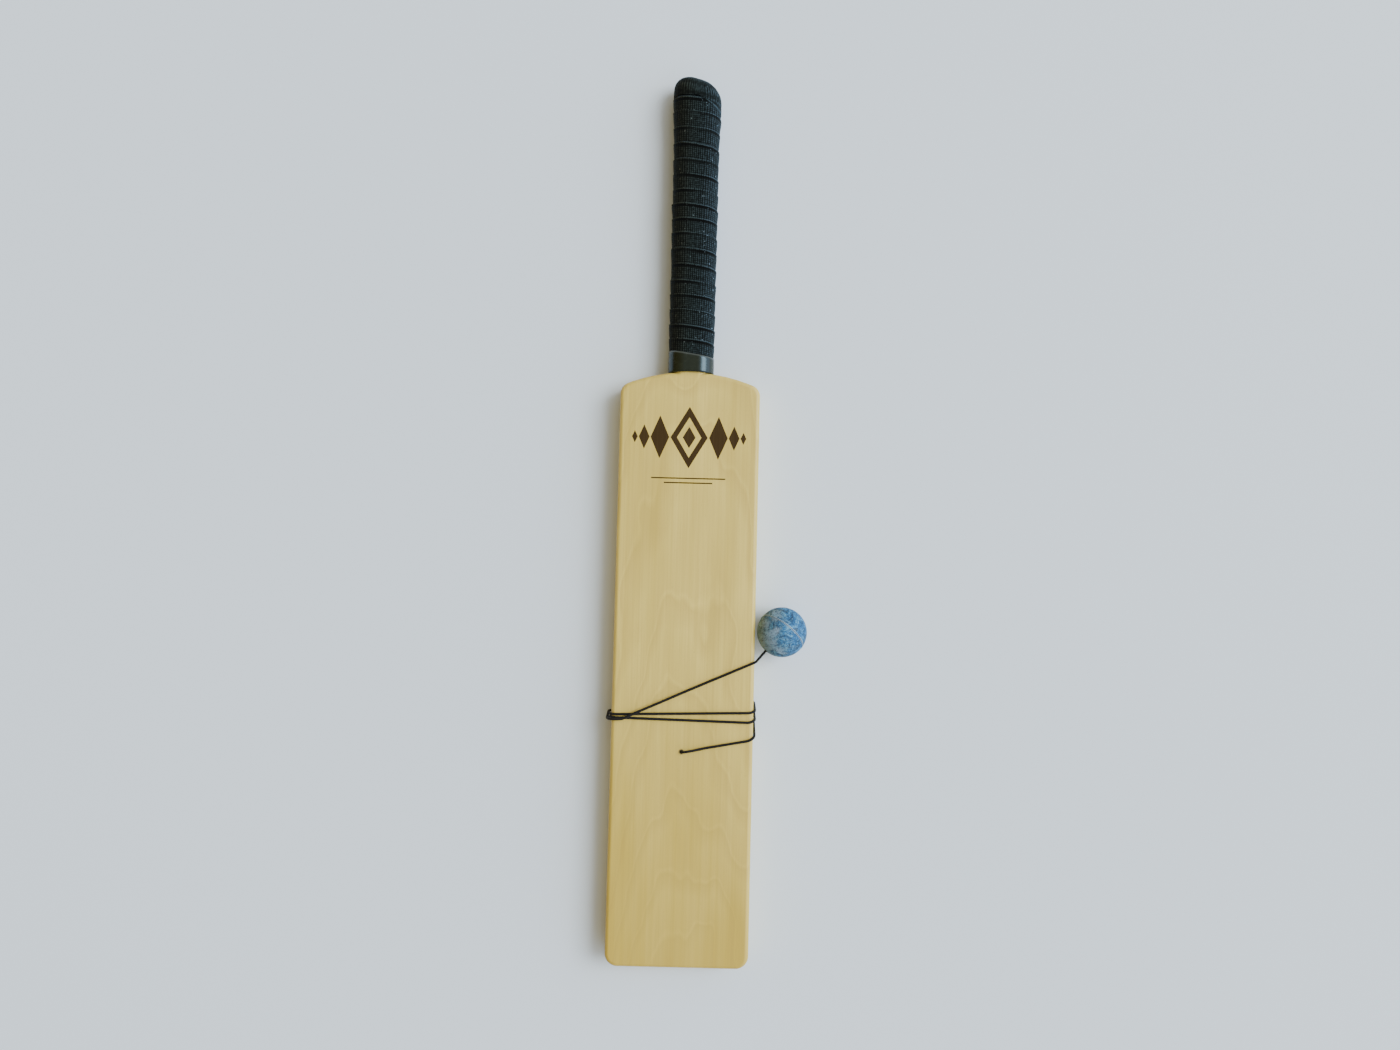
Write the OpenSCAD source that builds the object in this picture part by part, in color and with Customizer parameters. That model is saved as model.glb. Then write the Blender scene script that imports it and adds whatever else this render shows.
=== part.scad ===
// Paddle ball game: a flat wooden bat and a hollow rubber ball on an elastic cord, with the
// cord wound round the blade. Sizes are in millimetres. The origin is the centre of the toe's
// end face, +Y runs up the bat to the handle, +X is to the right of someone who looks at the
// striking face, and +Z points out of that face. The bat lies on its back.

/* [Blade] */
// Length of the blade from the toe to the top of the shoulder
blade_len = 418; // [320:1:520]
// Width of the blade at the toe
toe_w = 101; // [84:1:130]
// Width of the blade at the shoulder
shoulder_w = 98; // [84:1:128]
// Thickness of the board
board_t = 20; // [14:0.5:26]
// Corner radius at the toe, seen from the front
toe_corner_r = 9; // [6:0.5:20]
// Corner radius at the shoulder, seen from the front
shoulder_corner_r = 8; // [6:0.5:16]
// Radius of the crowned line across the shoulder
crown_r = 120; // [90:1:300]
// Rounding of every long edge of the blade
edge_r = 3; // [1:0.25:5]

/* [Handle] */
// Length of the handle from the shoulder to the end of its cover
handle_len = 208; // [170:1:260]
// Width of the wooden core
core_w = 28; // [24:0.5:34]
// How far the core's faces stand back from the blade's
core_step = 0.3; // [0.2:0.1:2]
// Corner radius of the core's section
core_corner_r = 9; // [4:0.5:9]
// Height of the rounded butt end
butt_h = 16; // [8:0.5:20]
// Roundness of the butt end's left corner: 1 is an ellipse, less is squarer
butt_left = 0.55; // [0.45:0.05:1]
// Roundness of its right corner
butt_right = 1; // [0.45:0.05:1]
// Lean of the butt end: how far it drops towards the right for each millimetre across
butt_lean = 0.08; // [0:0.01:0.2]

/* [Grip] */
// Thickness of the cloth tape at the raised edge of a turn
wrap_t = 2.3; // [1.8:0.1:3.5]
// Height of the step where one turn laps over the next
ridge_h = 0.65; // [0.2:0.05:1]
// Distance along the handle from turn to turn
wrap_pitch = 10.6; // [8:0.1:16]
// Extra drop of a turn from the middle of the front to the handle's side
wrap_slant = 0.3; // [0:0.1:3]
// Extra thickness of the cloth where it is doubled at the butt
flare_t = 0.8; // [0:0.1:2]
// Length of the doubled stretch at the butt
flare_len = 34; // [15:1:60]
// Width of the tape collar
collar_w = 13; // [8:0.5:25]
// Thickness of the tape collar
collar_t = 0.8; // [0.4:0.1:1.2]
// Slope of the collar's upper edge and of the grip's first edge, across the handle
collar_slope = 0.15; // [0:0.01:0.25]
// Slope of the edge where the grip meets the butt's cover
cover_slope = 0.25; // [0:0.01:0.35]
// Length of the cover's skirt below the rounded end
cover_drop = 4.5; // [4:0.5:12]

/* [Elastic] */
// Diameter of the elastic cord
cord_d = 1.8; // [1.2:0.1:2.4]
// Distance of the cord's hole from the toe
hole_y = 152; // [130:1:160]
// Diameter of the cord's hole
hole_d = 2.4; // [2:0.1:4]
// Diameter of the stopper knot
knot_d = 6; // [5:0.1:8]
// Height of the stopper knot
knot_h = 3.6; // [3:0.1:4.5]
// How far the stopper knot lies below the blade's back
knot_recess = 0.3; // [0.1:0.1:2]
// Gap round the stopper knot in its pocket
pocket_gap = 0.5; // [0.2:0.1:2]
// Length of the cord between the winding and the ball
lead_len = 9; // [6:0.5:12]

/* [Ball] */
// Diameter of the ball
ball_d = 35; // [28:0.5:45]
// Thickness of the ball's wall
ball_wall = 4; // [2.5:0.1:6]
// How far the moulded seam stands out of the ball
seam_rise = 0.2; // [0:0.05:0.5]
// Width of the moulded seam
seam_w = 1.4; // [0.6:0.1:3]
// Distance of the ball's centre from the toe
ball_y = 237; // [225:1:260]
// Gap between the ball and the blade's side
ball_side_gap = 1.5; // [1:0.1:6]
// Diameter of the knot inside the ball
ball_knot_d = 5.6; // [5:0.1:7]
// Height of the knot inside the ball
ball_knot_h = 4.4; // [3.5:0.1:4.8]
// Heading of the cord's hole from the ball's centre, in degrees from +X towards +Y
pole_heading = 229; // [222:1:236]
// Rise of the cord's hole above the level of the ball's centre, in degrees
pole_rise = 11.5; // [6:0.5:16]
// Heading of the axis that the ball's two halves are moulded about, in degrees from +X towards +Y
mould_heading = 231.5; // [222:0.5:244]
// Rise of that axis above the level of the ball's centre, in degrees
mould_rise = 22; // [6:0.5:24]

/* [Fits] */
// Gap between the cord and the wood that it lies on
cord_gap = 0.2; // [0.1:0.05:0.3]
// Gap between pieces that seat on each other
seat_gap = 0.1; // [0.05:0.05:0.3]
// Radial running clearance of the cord in the ball's hole
run_gap = 0.1; // [0.05:0.01:0.1]
// Gap between cords that cross
strand_gap = 0.5; // [0.45:0.05:1]
// Running gap between the ball's inside and the knot that it turns on
knot_seat = 0.2; // [0.1:0.05:0.3]

/* [Hidden] */

wood = "#cdbd94";
cloth = "#23282a";
tape = "#15171a";
elastic = "#101214";
rubber = "#6f9cc0";

// Overrun of every cut
over = 1;
// Length of cord on either side of a point that its least gap leaves out
near_reach = 8;
// Steps round each corner of the handle's section, and points round the section
corner_steps = 6;
sides = 4 * (corner_steps + 1);
// Facets of round shapes, of the blade's corners and of its rounded edges
round_facets = 64;
puck_facets = 48;
edge_facets = 24;

// Blade: places

// The crown's centre, and the centre of the right shoulder corner, tangent to crown and side
crown_y = blade_len - crown_r;
shoulder_x = shoulder_w / 2 - shoulder_corner_r;
shoulder_y = crown_y + sqrt(pow(crown_r - shoulder_corner_r, 2) - pow(shoulder_x, 2));
crown_angle = asin(shoulder_x / (crown_r - shoulder_corner_r));
// Discs along the crown, as shares of the way from its middle to a shoulder corner
crown_shares = [0, 0.25, 0.5, 0.75];

// Half the blade's width at a distance y from the toe
function blade_half(y) =
    toe_w / 2 - (toe_w - shoulder_w) / 2 * (y - toe_corner_r) / (shoulder_y - toe_corner_r);

// Height of the crown at a distance x from the middle
function crown_at(x) = crown_y + sqrt(pow(crown_r, 2) - pow(x, 2));

// Handle: places

core_t = board_t - 2 * core_step;
overall_len = blade_len + handle_len;
butt_y = overall_len - butt_h;
// Corner radius of the section, at most a share of the core's thickness
most_corner_share = 0.47;
corner_r = min(core_corner_r, core_t * most_corner_share);
// Angles of the rings that round the butt end
dome_angles = [0, 16, 32, 48, 64, 78, 86];
// Thickness of the cloth under the collar
under_t = wrap_t - collar_t - 2 * seat_gap;
// The collar's upper edge and the grip's upper edge, on the handle's middle line
collar_y = blade_len + collar_w;
cover_y = butt_y - cover_drop;
// Level of the ground that the bat lies on: the lower of the wound cord and the grip
cord_lay = board_t / 2 + cord_gap + cord_d / 2;
lie_z = -max(cord_lay + cord_d / 2, core_t / 2 + wrap_t);

// Smooth step from 0 to 1
function smooth(t) = let (s = min(1, max(0, t))) s * s * (3 - 2 * s);

// Running sums of a list, from zero
function sums(list) = [
    for (i = 0, s = 0; i <= len(list); s = s + (i < len(list) ? list[i] : 0), i = i + 1) s];

// Points [x, z] of the handle's section, grown outwards, from the right side over the front
function section(grow) = [
    for (corner = [0:3], step = [0:corner_steps])
        let (a = 90 * (corner + step / corner_steps), r = corner_r + grow,
             sx = corner == 0 || corner == 3 ? 1 : -1, sz = corner < 2 ? 1 : -1)
            [sx * (core_w / 2 - corner_r) + r * cos(a), sz * (core_t / 2 - corner_r) + r * sin(a)]];

// Share of the way round the section at each of its points
section_steps = let (p = section(0)) [for (i = [0:sides - 1]) norm(p[(i + 1) % sides] - p[i])];
section_shares = let (s = sums(section_steps)) s / s[sides];

// The section grown by grow, and by extra more to the sides and the front: the bat lies on its back
function flared(grow, extra) =
    let (p = section(grow), q = section(grow + extra))
        [for (j = [0:sides - 1]) [q[j][0], max(p[j][1], q[j][1])]];

// One point of a ring: a section point at a height along the handle
function on_ring(p, y) = [p[0], y, p[1]];

// A ring across the handle at a height y, leaning towards the right by slope
function ring(outline, y, slope = 0) = [for (p = outline) on_ring(p, y - slope * p[0])];

// A ring that follows the blade's crown
function crown_ring(outline, up) = [for (p = outline) on_ring(p, crown_at(p[0]) + up)];

// Roundness of the butt end at a distance x from the middle
function butt_round(x) = butt_left + (butt_right - butt_left) * smooth(1 / 2 + x / core_w);

// A ring of the rounded butt end at an angle of its dome
function dome_ring(outline, h, angle) = [
    for (p = outline)
        let (round = butt_round(p[0]), q = p * pow(cos(angle), round))
            on_ring(q, butt_y + h * pow(sin(angle), round) - butt_lean * q[0])];

// Triangles of a skin over rings of n points, with its ends closed, or joined up into a sleeve
function skin_faces(n, rings, sleeve) = concat(
    [for (i = [0:rings - (sleeve ? 1 : 2)], j = [0:n - 1])
        let (k = (i + 1) % rings, l = (j + 1) % n)
            each [[i * n + j, k * n + l, k * n + j], [i * n + j, i * n + l, k * n + l]]],
    sleeve ? [] : let (top = (rings - 1) * n)
        [for (j = [1:n - 2]) each [[0, j + 1, j], [top, top + j, top + j + 1]]]);

module skin(rings, sleeve = false) {
    polyhedron(points = [for (r = rings) each r], faces = skin_faces(len(rings[0]), len(rings), sleeve));
}

// Grip: a helical grid, three rows to a turn

// How far the grid starts below the collar's line at the start of the section, as a share of the pitch
first_turn_share = 1.37;
// Rows of a turn as [share of the pitch, share of the step]: foot, belly and raised edge
row_shares = [[0, 0], [0.5, 0.62], [1, 1]];
rows = len(row_shares);
// Height of the first turn at the start of the section
first_turn_y = collar_y - first_turn_share * wrap_pitch;
turns = ceil((cover_y - first_turn_y + cover_slope * core_w) / wrap_pitch) + 1;
grid = rows * turns;

// Thickness that the doubled cloth adds at a height y
function flare(y) = flare_t * smooth(1 - (cover_y - y) / flare_len);

// Height of a row of a turn at one point round the section
function turn_y(j, k, share) =
    first_turn_y + wrap_pitch * (k + section_shares[j] + share)
    - wrap_slant * section(0)[j][0] / (core_w / 2);

// Heights of the grip's two edges at one point round the section
function grip_low(j) = collar_y - collar_slope * section(wrap_t)[j][0];
function grip_high(j) = cover_y - cover_slope * section(wrap_t)[j][0];

// A point of the grid
function grip_point(j, k, row) =
    let (y = turn_y(j, k, row_shares[row][0]))
        on_ring(flared(wrap_t - ridge_h + ridge_h * row_shares[row][1], flare(y))[j], y);

// Number of the point at row m of a column: past an edge it is the edge's own point
function grip_index(j, m) =
    let (y = turn_y(j, floor(m / rows), row_shares[m % rows][0]))
        y <= grip_low(j) ? sides * grid + j : y >= grip_high(j) ? sides * (grid + 1) + j : j * grid + m;

// A triangle, or nothing where two of its corners are one point
function triangle(a, b, c) = a == b || b == c || a == c ? [] : [[a, b, c]];

module grip_wrap() {
    columns = [for (j = [0:sides - 1], k = [0:turns - 1], row = [0:rows - 1]) grip_point(j, k, row)];
    low_edge = [for (j = [0:sides - 1]) on_ring(section(wrap_t - ridge_h)[j], grip_low(j))];
    high_edge = [for (j = [0:sides - 1]) on_ring(flared(wrap_t, flare_t)[j], grip_high(j))];
    bore = section(seat_gap);
    under = section(under_t);
    rings = [low_edge, high_edge, ring(bore, cover_y, cover_slope), crown_ring(bore, seat_gap),
             crown_ring(under, seat_gap), ring(under, collar_y, collar_slope)];
    points = concat(columns, [for (r = rings) each r]);
    // Numbers of the first points of the six rings, from the upper edge through the bore to the lower edge
    firsts = [for (i = [1, 2, 3, 4, 5, 0]) sides * (grid + i)];
    outside = [
        for (j = [0:sides - 1])
            let (last = j == sides - 1, next = last ? 0 : j + 1, shift = last ? rows : 0)
                for (m = [0:grid - 2 - shift])
                    let (a = grip_index(j, m), b = grip_index(next, m + shift),
                         c = grip_index(next, m + shift + 1), d = grip_index(j, m + 1))
                        each concat(triangle(a, c, d), triangle(a, b, c))];
    inside = [
        for (i = [0:len(firsts) - 2], j = [0:sides - 1])
            let (l = (j + 1) % sides, p = firsts[i], q = firsts[i + 1])
                each [[p + j, q + l, q + j], [p + j, p + l, q + l]]];
    color(cloth) polyhedron(points = points, faces = concat(outside, inside));
}

module collar_tape() {
    inner = section(under_t + seat_gap);
    outer = section(under_t + seat_gap + collar_t);
    color(tape) skin([crown_ring(inner, seat_gap), crown_ring(outer, seat_gap),
                      ring(outer, collar_y - seat_gap, collar_slope),
                      ring(inner, collar_y - seat_gap, collar_slope)], sleeve = true);
}

module butt_patch() {
    inner = section(seat_gap);
    outer = flared(wrap_t, flare_t);
    inner_h = butt_h - wrap_t + seat_gap;
    inside = [for (i = [1:len(dome_angles)]) dome_ring(inner, inner_h, dome_angles[len(dome_angles) - i])];
    outside = [for (a = dome_angles) dome_ring(outer, butt_h, a)];
    color(cloth) skin(concat(inside, [ring(inner, cover_y + seat_gap, cover_slope)],
                             [ring(outer, cover_y + seat_gap, cover_slope)], outside));
}

// Board

// A disc of the board's thickness with a rounded rim
module puck(r) {
    rotate_extrude($fn = puck_facets) intersection() {
        union() {
            square([2 * (r - edge_r), board_t], center = true);
            square([2 * r, board_t - 2 * edge_r], center = true);
            for (side = [-1, 1])
                translate([r - edge_r, side * (board_t / 2 - edge_r)]) circle(r = edge_r, $fn = edge_facets);
        }
        translate([0, -board_t]) square(2 * board_t + r);
    }
}

module blade() {
    hull() for (side = [-1, 1]) {
        translate([side * (toe_w / 2 - toe_corner_r), toe_corner_r, 0]) puck(toe_corner_r);
        for (share = concat(crown_shares, 1))
            translate([0, crown_y, 0]) rotate([0, 0, -side * share * crown_angle])
                translate([0, crown_r - shoulder_corner_r, 0]) puck(shoulder_corner_r);
    }
}

module handle_core() {
    core = section(0);
    skin(concat([ring(core, shoulder_y)], [for (a = dome_angles) dome_ring(core, butt_h - wrap_t, a)]));
}

pocket_d = knot_d + 2 * pocket_gap;
pocket_floor = -board_t / 2 + knot_recess + knot_h + seat_gap;

module bat_board() {
    color(wood) difference() {
        union() {
            blade();
            handle_core();
        }
        translate([0, hole_y, 0]) {
            cylinder(h = board_t + 2 * over, d = hole_d, center = true, $fn = round_facets);
            translate([0, 0, -board_t / 2 - over])
                cylinder(h = pocket_floor + board_t / 2 + over, d = pocket_d, $fn = round_facets);
        }
    }
}

// Elastic: places

// Radius of the cord's bend where it leaves the hole, and its straight stretch inside the hole,
// as shares of its diameter
exit_bend_share = 2;
exit_straight_share = 1.1;
exit_bend = exit_bend_share * cord_d;
shank_top = board_t / 2 - exit_straight_share * cord_d;
// Ball's centre, and the way from it to the cord
ball_r = ball_d / 2;
ball_c = [blade_half(ball_y) + ball_r + ball_side_gap, ball_y, lie_z + ball_r];
pole = [cos(pole_rise) * cos(pole_heading), cos(pole_rise) * sin(pole_heading), sin(pole_rise)];
entry = ball_c + ball_r * pole;
lead_start = ball_c + (ball_r + lead_len) * pole;

// Height of a strand that crosses over two others
lift = cord_d + strand_gap;

// Distances from the toe at which each lap leaves the front and the back at the right edge,
// and the back and the front at the left edge
laps = [[160.9, 174.6, 171.8, 175.1], [173.6, 181.4, 174.1, 177.4], [180.4, 186, 176.6, 174.2]];
// The last strand's way over the other two, as [distance from the left edge, from the toe]
crossing = [[8, 174.4], [12.6, 176.6], [16.8, 178.8]];
// Shares of the last strand's length at which it comes down to the wood
landing_shares = [0.08, 0.18, 0.28, 0.38, 0.48, 0.75, 0.96];
// Shares of the run over which the first strand comes down from its bend
hump_shares = [0.25, 0.5, 0.75, 1];
// Length of that run, as a share of the cord's diameter
hump_run_share = 9;
// Steps of each bend round an edge
bend_steps = 4;
// Share of its way round the left edge at which a strand starts to climb, and the angle of the
// first bend at which a strand that crosses others starts to leave the wood
climb_wait_share = 0.24;
lift_start = 10;

function unit(v) = v / norm(v);

// The cord's way round one edge, from face to face, as [place, outward direction]. The climb
// from y0 to y1 waits for a share of the way, and rise lifts the cord off the wood on the first bend.
function edge_pass(side, y0, y1, wait = 0, rise = 0) =
    let (bend = 90 * (edge_r + cord_lay - board_t / 2) * PI / 180, flat = board_t - 2 * edge_r,
         total = 2 * bend + flat)
    [for (arc = [0, 1], i = [0:bend_steps])
        let (turned = 90 * (arc + i / bend_steps), a = (side > 0 ? 90 : 270) - turned,
             share = (arc * (bend + flat) + i / bend_steps * bend) / total,
             y = y0 + (y1 - y0) * min(1, max(0, (share - wait) / (1 - 2 * wait))),
             r = edge_r + cord_lay - board_t / 2 + rise * smooth((turned - lift_start) / (90 - lift_start)))
            [[side * (blade_half(y) - edge_r) + r * cos(a), y,
              (arc == 0 ? side : -side) * (board_t / 2 - edge_r) + r * sin(a)], [cos(a), 0, sin(a)]]];

// The cord's way out of the hole, over its bend and down to the wood
exit_way = unit([blade_half(laps[0][0]) - edge_r, laps[0][0] - hole_y]);
function exit_at(s, z, a) =
    [[exit_way[0] * s, hole_y + exit_way[1] * s, z], [-cos(a) * exit_way[0], -cos(a) * exit_way[1], sin(a)]];
exit_route = concat(
    [exit_at(0, shank_top, 0)],
    [for (i = [0:bend_steps])
        let (a = 90 * i / bend_steps) exit_at(exit_bend * (1 - cos(a)), board_t / 2 + exit_bend * sin(a), a)],
    [for (share = hump_shares)
        exit_at(exit_bend + share * hump_run_share * cord_d,
                cord_lay + (board_t / 2 + exit_bend - cord_lay) * (1 - smooth(share)), 90)]);

// The last strand: over the other two, down to the wood, and off the edge towards the ball
last_bend = lead_start + cord_d * pole;
crossing_points = [for (c = crossing) [c[0] - blade_half(c[1]), c[1], cord_lay + lift]];
function landing_at(share) =
    let (from = crossing_points[len(crossing) - 1], p = from + share * (last_bend - from),
         come_down = (share - landing_shares[0]) / (landing_shares[4] - landing_shares[0]))
    [p[0], p[1], cord_lay + lift * (1 - smooth(come_down))];
front = [0, 0, 1];
last_route = concat([for (p = crossing_points) [p, front]],
                    [for (share = landing_shares) [landing_at(share), front]],
                    [[last_bend, front], [lead_start, front]]);

route = concat(
    exit_route,
    [for (i = [0:len(laps) - 1])
        let (lap = laps[i], last = i == len(laps) - 1)
            each concat(edge_pass(1, lap[0], lap[1]),
                        edge_pass(-1, lap[2], lap[3], climb_wait_share, last ? lift : 0))],
    last_route);

// Rings of a tube along a route, with a flat of the tube towards the wood
function tube_rings(way, r, n) = [
    for (i = [0:len(way) - 1])
        let (ahead = i == len(way) - 1 ? undef : unit(way[i + 1][0] - way[i][0]),
             behind = i == 0 ? undef : unit(way[i][0] - way[i - 1][0]),
             along = is_undef(ahead) ? behind : is_undef(behind) ? ahead : unit(ahead + behind),
             across = unit(cross(along, way[i][1])), out = cross(across, along))
            [for (k = [0:n - 1]) way[i][0] + r * (cos(360 * k / n) * across + sin(360 * k / n) * out)]];

cord_sides = 6;

module elastic_winding() {
    color(elastic) skin(tube_rings(route, cord_d / 2, cord_sides));
}

// Least gap of the winding to itself, measured from points along it to its other stretches
function near_point(p, a, b) =
    let (d = b - a, t = min(1, max(0, (p - a) * d / (d * d)))) norm(p - a - t * d);
route_points = [for (w = route) w[0]];
route_steps = [for (i = [1:len(route) - 1]) norm(route_points[i] - route_points[i - 1])];
route_sums = sums(route_steps);
near_steps = 3;
self_gap = min([
    for (i = [0:len(route) - 2], k = [0:near_steps - 1])
        let (share = k / near_steps, p = route_points[i] * (1 - share) + route_points[i + 1] * share,
             at = route_sums[i] + share * route_steps[i])
            for (j = [0:len(route) - 2])
                if (route_sums[j] > at + near_reach || route_sums[j + 1] < at - near_reach)
                    near_point(p, route_points[j], route_points[j + 1])]) - cord_d;
echo(str("Least gap of the winding to itself, mm: ", self_gap));
echo(str("Length of the winding, mm: ", route_sums[len(route) - 1]));

// A knot as a round cushion of diameter d and height h about its middle, on a shank that
// reaches up to a height from that middle
module knot(d, h, shank) {
    rotate_extrude($fn = round_facets) intersection() {
        union() {
            translate([(d - h) / 2, 0]) circle(d = h, $fn = round_facets);
            square([d - h, h], center = true);
            square([cord_d / 2, shank]);
        }
        translate([0, -shank]) square([d, 2 * shank]);
    }
}

module stopper_knot() {
    middle = pocket_floor - seat_gap - knot_h / 2;
    color(elastic) translate([0, hole_y, middle]) knot(knot_d, knot_h, shank_top - middle);
}

// Ball

// Puts its children at the ball's centre with +Z towards the cord
module on_pole() {
    translate(ball_c) rotate([0, 90 - pole_rise, pole_heading]) children();
}

// Puts its children at the ball's centre with +Z square to the seam, on the cord's side of it
module on_mould() {
    translate(ball_c) rotate([0, 90 - mould_rise, mould_heading]) children();
}

module elastic_lead() {
    color(elastic) on_pole() translate([0, 0, ball_r]) cylinder(h = lead_len, d = cord_d, $fn = round_facets);
}

module ball_knot() {
    centre = ball_r - ball_wall - ball_knot_h / 2 - knot_seat;
    color(elastic) on_pole() translate([0, 0, centre]) knot(ball_knot_d, ball_knot_h, ball_r - centre);
}

// Half of the ball, above its seam
module half_ball() {
    rotate_extrude($fn = round_facets) intersection() {
        difference() {
            union() {
                circle(r = ball_r, $fn = round_facets);
                square([2 * (ball_r + seam_rise), seam_w], center = true);
            }
            circle(r = ball_r - ball_wall, $fn = round_facets);
        }
        square(2 * ball_r);
    }
}

module ball_near_half() {
    color(rubber) difference() {
        on_mould() half_ball();
        on_pole() cylinder(h = ball_d, r = cord_d / 2 + run_gap, $fn = round_facets);
    }
}

module ball_far_half() {
    color(rubber) on_mould() mirror([0, 0, 1]) half_ball();
}

bat_board();
grip_wrap();
butt_patch();
collar_tape();
elastic_winding();
stopper_knot();
elastic_lead();
ball_knot();
ball_near_half();
ball_far_half();
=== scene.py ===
"""Looks of a paddle ball game: a flat wooden bat and a marbled rubber ball on an elastic cord.

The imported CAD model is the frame. Each sub-assembly below is modelled in millimetres in the frame's
own axes, with +Y up the bat, +X to the right of the striking face and +Z out of it. The bat lies on
its back with the elastic wound round its blade, and the ball rests beside it.
"""

import logging
import math
from dataclasses import dataclass
from enum import Enum
from functools import partial
from typing import Callable, NamedTuple, Sequence

import bmesh
import bpy
from mathutils import Matrix, Vector, noise


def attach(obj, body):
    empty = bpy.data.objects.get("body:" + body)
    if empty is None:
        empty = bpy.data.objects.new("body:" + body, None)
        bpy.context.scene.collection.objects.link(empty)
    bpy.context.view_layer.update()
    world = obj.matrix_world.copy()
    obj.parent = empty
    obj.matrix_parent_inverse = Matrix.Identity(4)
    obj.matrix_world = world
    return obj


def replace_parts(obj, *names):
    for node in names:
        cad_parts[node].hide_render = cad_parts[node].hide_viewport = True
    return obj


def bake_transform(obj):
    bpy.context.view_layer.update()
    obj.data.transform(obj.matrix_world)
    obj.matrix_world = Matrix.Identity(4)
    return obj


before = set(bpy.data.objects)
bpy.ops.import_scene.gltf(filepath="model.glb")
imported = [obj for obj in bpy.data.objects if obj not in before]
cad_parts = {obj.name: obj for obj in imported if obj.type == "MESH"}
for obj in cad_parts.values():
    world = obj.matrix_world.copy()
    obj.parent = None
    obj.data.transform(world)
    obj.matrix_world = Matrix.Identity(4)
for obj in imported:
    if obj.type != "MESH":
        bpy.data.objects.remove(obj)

MM = 0.001  # metres in a millimetre
MERGE = 0.002  # mm: points closer than this are one
CREASE = 40.0  # degrees: faces that turn by more than this meet in a sharp edge
CLOTH_CREASE = 55.0  # degrees: the same on cloth and tape
log = logging.getLogger("paddle_ball_game")

Stops = Sequence[tuple[float, str | float]]
Adder = Callable[..., bpy.types.Node]
Outputs = bpy.types.bpy_prop_collection
Placed = tuple[Vector, tuple[float, float]]


class Body(Enum):
    """The CAD bodies that the pieces ride on."""

    BAT = "bat"
    LEAD = "lead"
    TETHER_END = "tether_end"
    BALL = "ball"


class Slot(Enum):
    """The record's material slots."""

    WOOD = "wood"
    GRIP_CLOTH = "grip_cloth"
    GLOSS_TAPE = "gloss_tape"
    ELASTIC = "elastic"
    BALL_RUBBER = "ball_rubber"


class Edge(Enum):
    """The blade's edge that a lap of the cord goes round: the sign of its x."""

    RIGHT = 1
    LEFT = -1


class Pattern(NamedTuple):
    """A cloudy pattern of a finish: the size of its clouds along x, y and z, and how fine they break up."""

    size_mm: tuple[float, float, float]
    detail: float = 2.0
    roughness: float = 0.5
    twist: float = 0.0


class Painted(NamedTuple):
    """The nodes that give a finish its colour, and its relief and its roughness where they vary."""

    colour: bpy.types.Node
    height: bpy.types.Node | None = None
    roughness: bpy.types.Node | None = None


def smooth(t: float) -> float:
    """Returns a smooth step from 0 to 1."""
    s = min(1.0, max(0.0, t))
    return s * s * (3 - 2 * s)


def ripple(*place: float) -> float:
    """Returns smooth noise from about -1 to 1, which changes over one or two units of its place."""
    return noise.noise(Vector(place))


def linear(tone: str | float) -> tuple[float, float, float, float]:
    """Turns an sRGB hex colour to the linear colour that a shader takes.

    Args:
        tone: The colour, such as "#c8b48c", or a grey that is linear already.

    Returns:
        Red, green, blue and an alpha of 1.
    """
    if not isinstance(tone, str):
        return tone, tone, tone, 1.0
    parts = [int(tone[i:i + 2], 16) / 255 for i in (1, 3, 5)]
    return (*[p / 12.92 if p <= 0.04045 else ((p + 0.055) / 1.055) ** 2.4 for p in parts], 1.0)


def per_metre(spacing_mm: float) -> float:
    """Returns how often a pattern of that spacing in millimetres repeats in a metre."""
    return 1 / (spacing_mm * MM)


def feed(node: bpy.types.Node, feeds: dict | Sequence) -> None:
    """Sets the inputs of a node.

    Args:
        node: The node.
        feeds: What each input gets, by the input's name or in the order of the inputs in use. A node
            gives its first output in use, and text is a colour.
    """
    in_use = [socket for socket in node.inputs if socket.enabled]
    for target, value in feeds.items() if isinstance(feeds, dict) else zip(in_use, feeds):
        socket = node.inputs[target] if isinstance(target, str) else target
        if isinstance(value, bpy.types.Node):
            value = next(output for output in value.outputs if output.enabled)
        if isinstance(value, bpy.types.NodeSocket):
            node.id_data.links.new(value, socket)
        else:
            socket.default_value = linear(value) if isinstance(value, str) else value


def add(tree: bpy.types.NodeTree, kind: str, feeds: dict | Sequence = (), stops: Stops = (),
        **settings: str) -> bpy.types.Node:
    """Adds a shader node.

    Args:
        tree: The node tree that it joins.
        kind: Its type, such as "Math" for a ShaderNodeMath.
        feeds: What its inputs get, as feed() takes it.
        stops: Places and tones of a colour ramp, from its low end up.
        **settings: Other attributes of the node.

    Returns:
        The node.
    """
    node = tree.nodes.new("ShaderNode" + kind)
    for name, value in settings.items():
        setattr(node, name, value)
    feed(node, feeds)
    if stops:
        ramp = node.color_ramp.elements
        ramp.remove(ramp[1])
        for i, (place, tone) in enumerate(stops):
            stop = ramp.new(place) if i else ramp[0]
            stop.position, stop.color = place, linear(tone)
    return node


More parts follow.
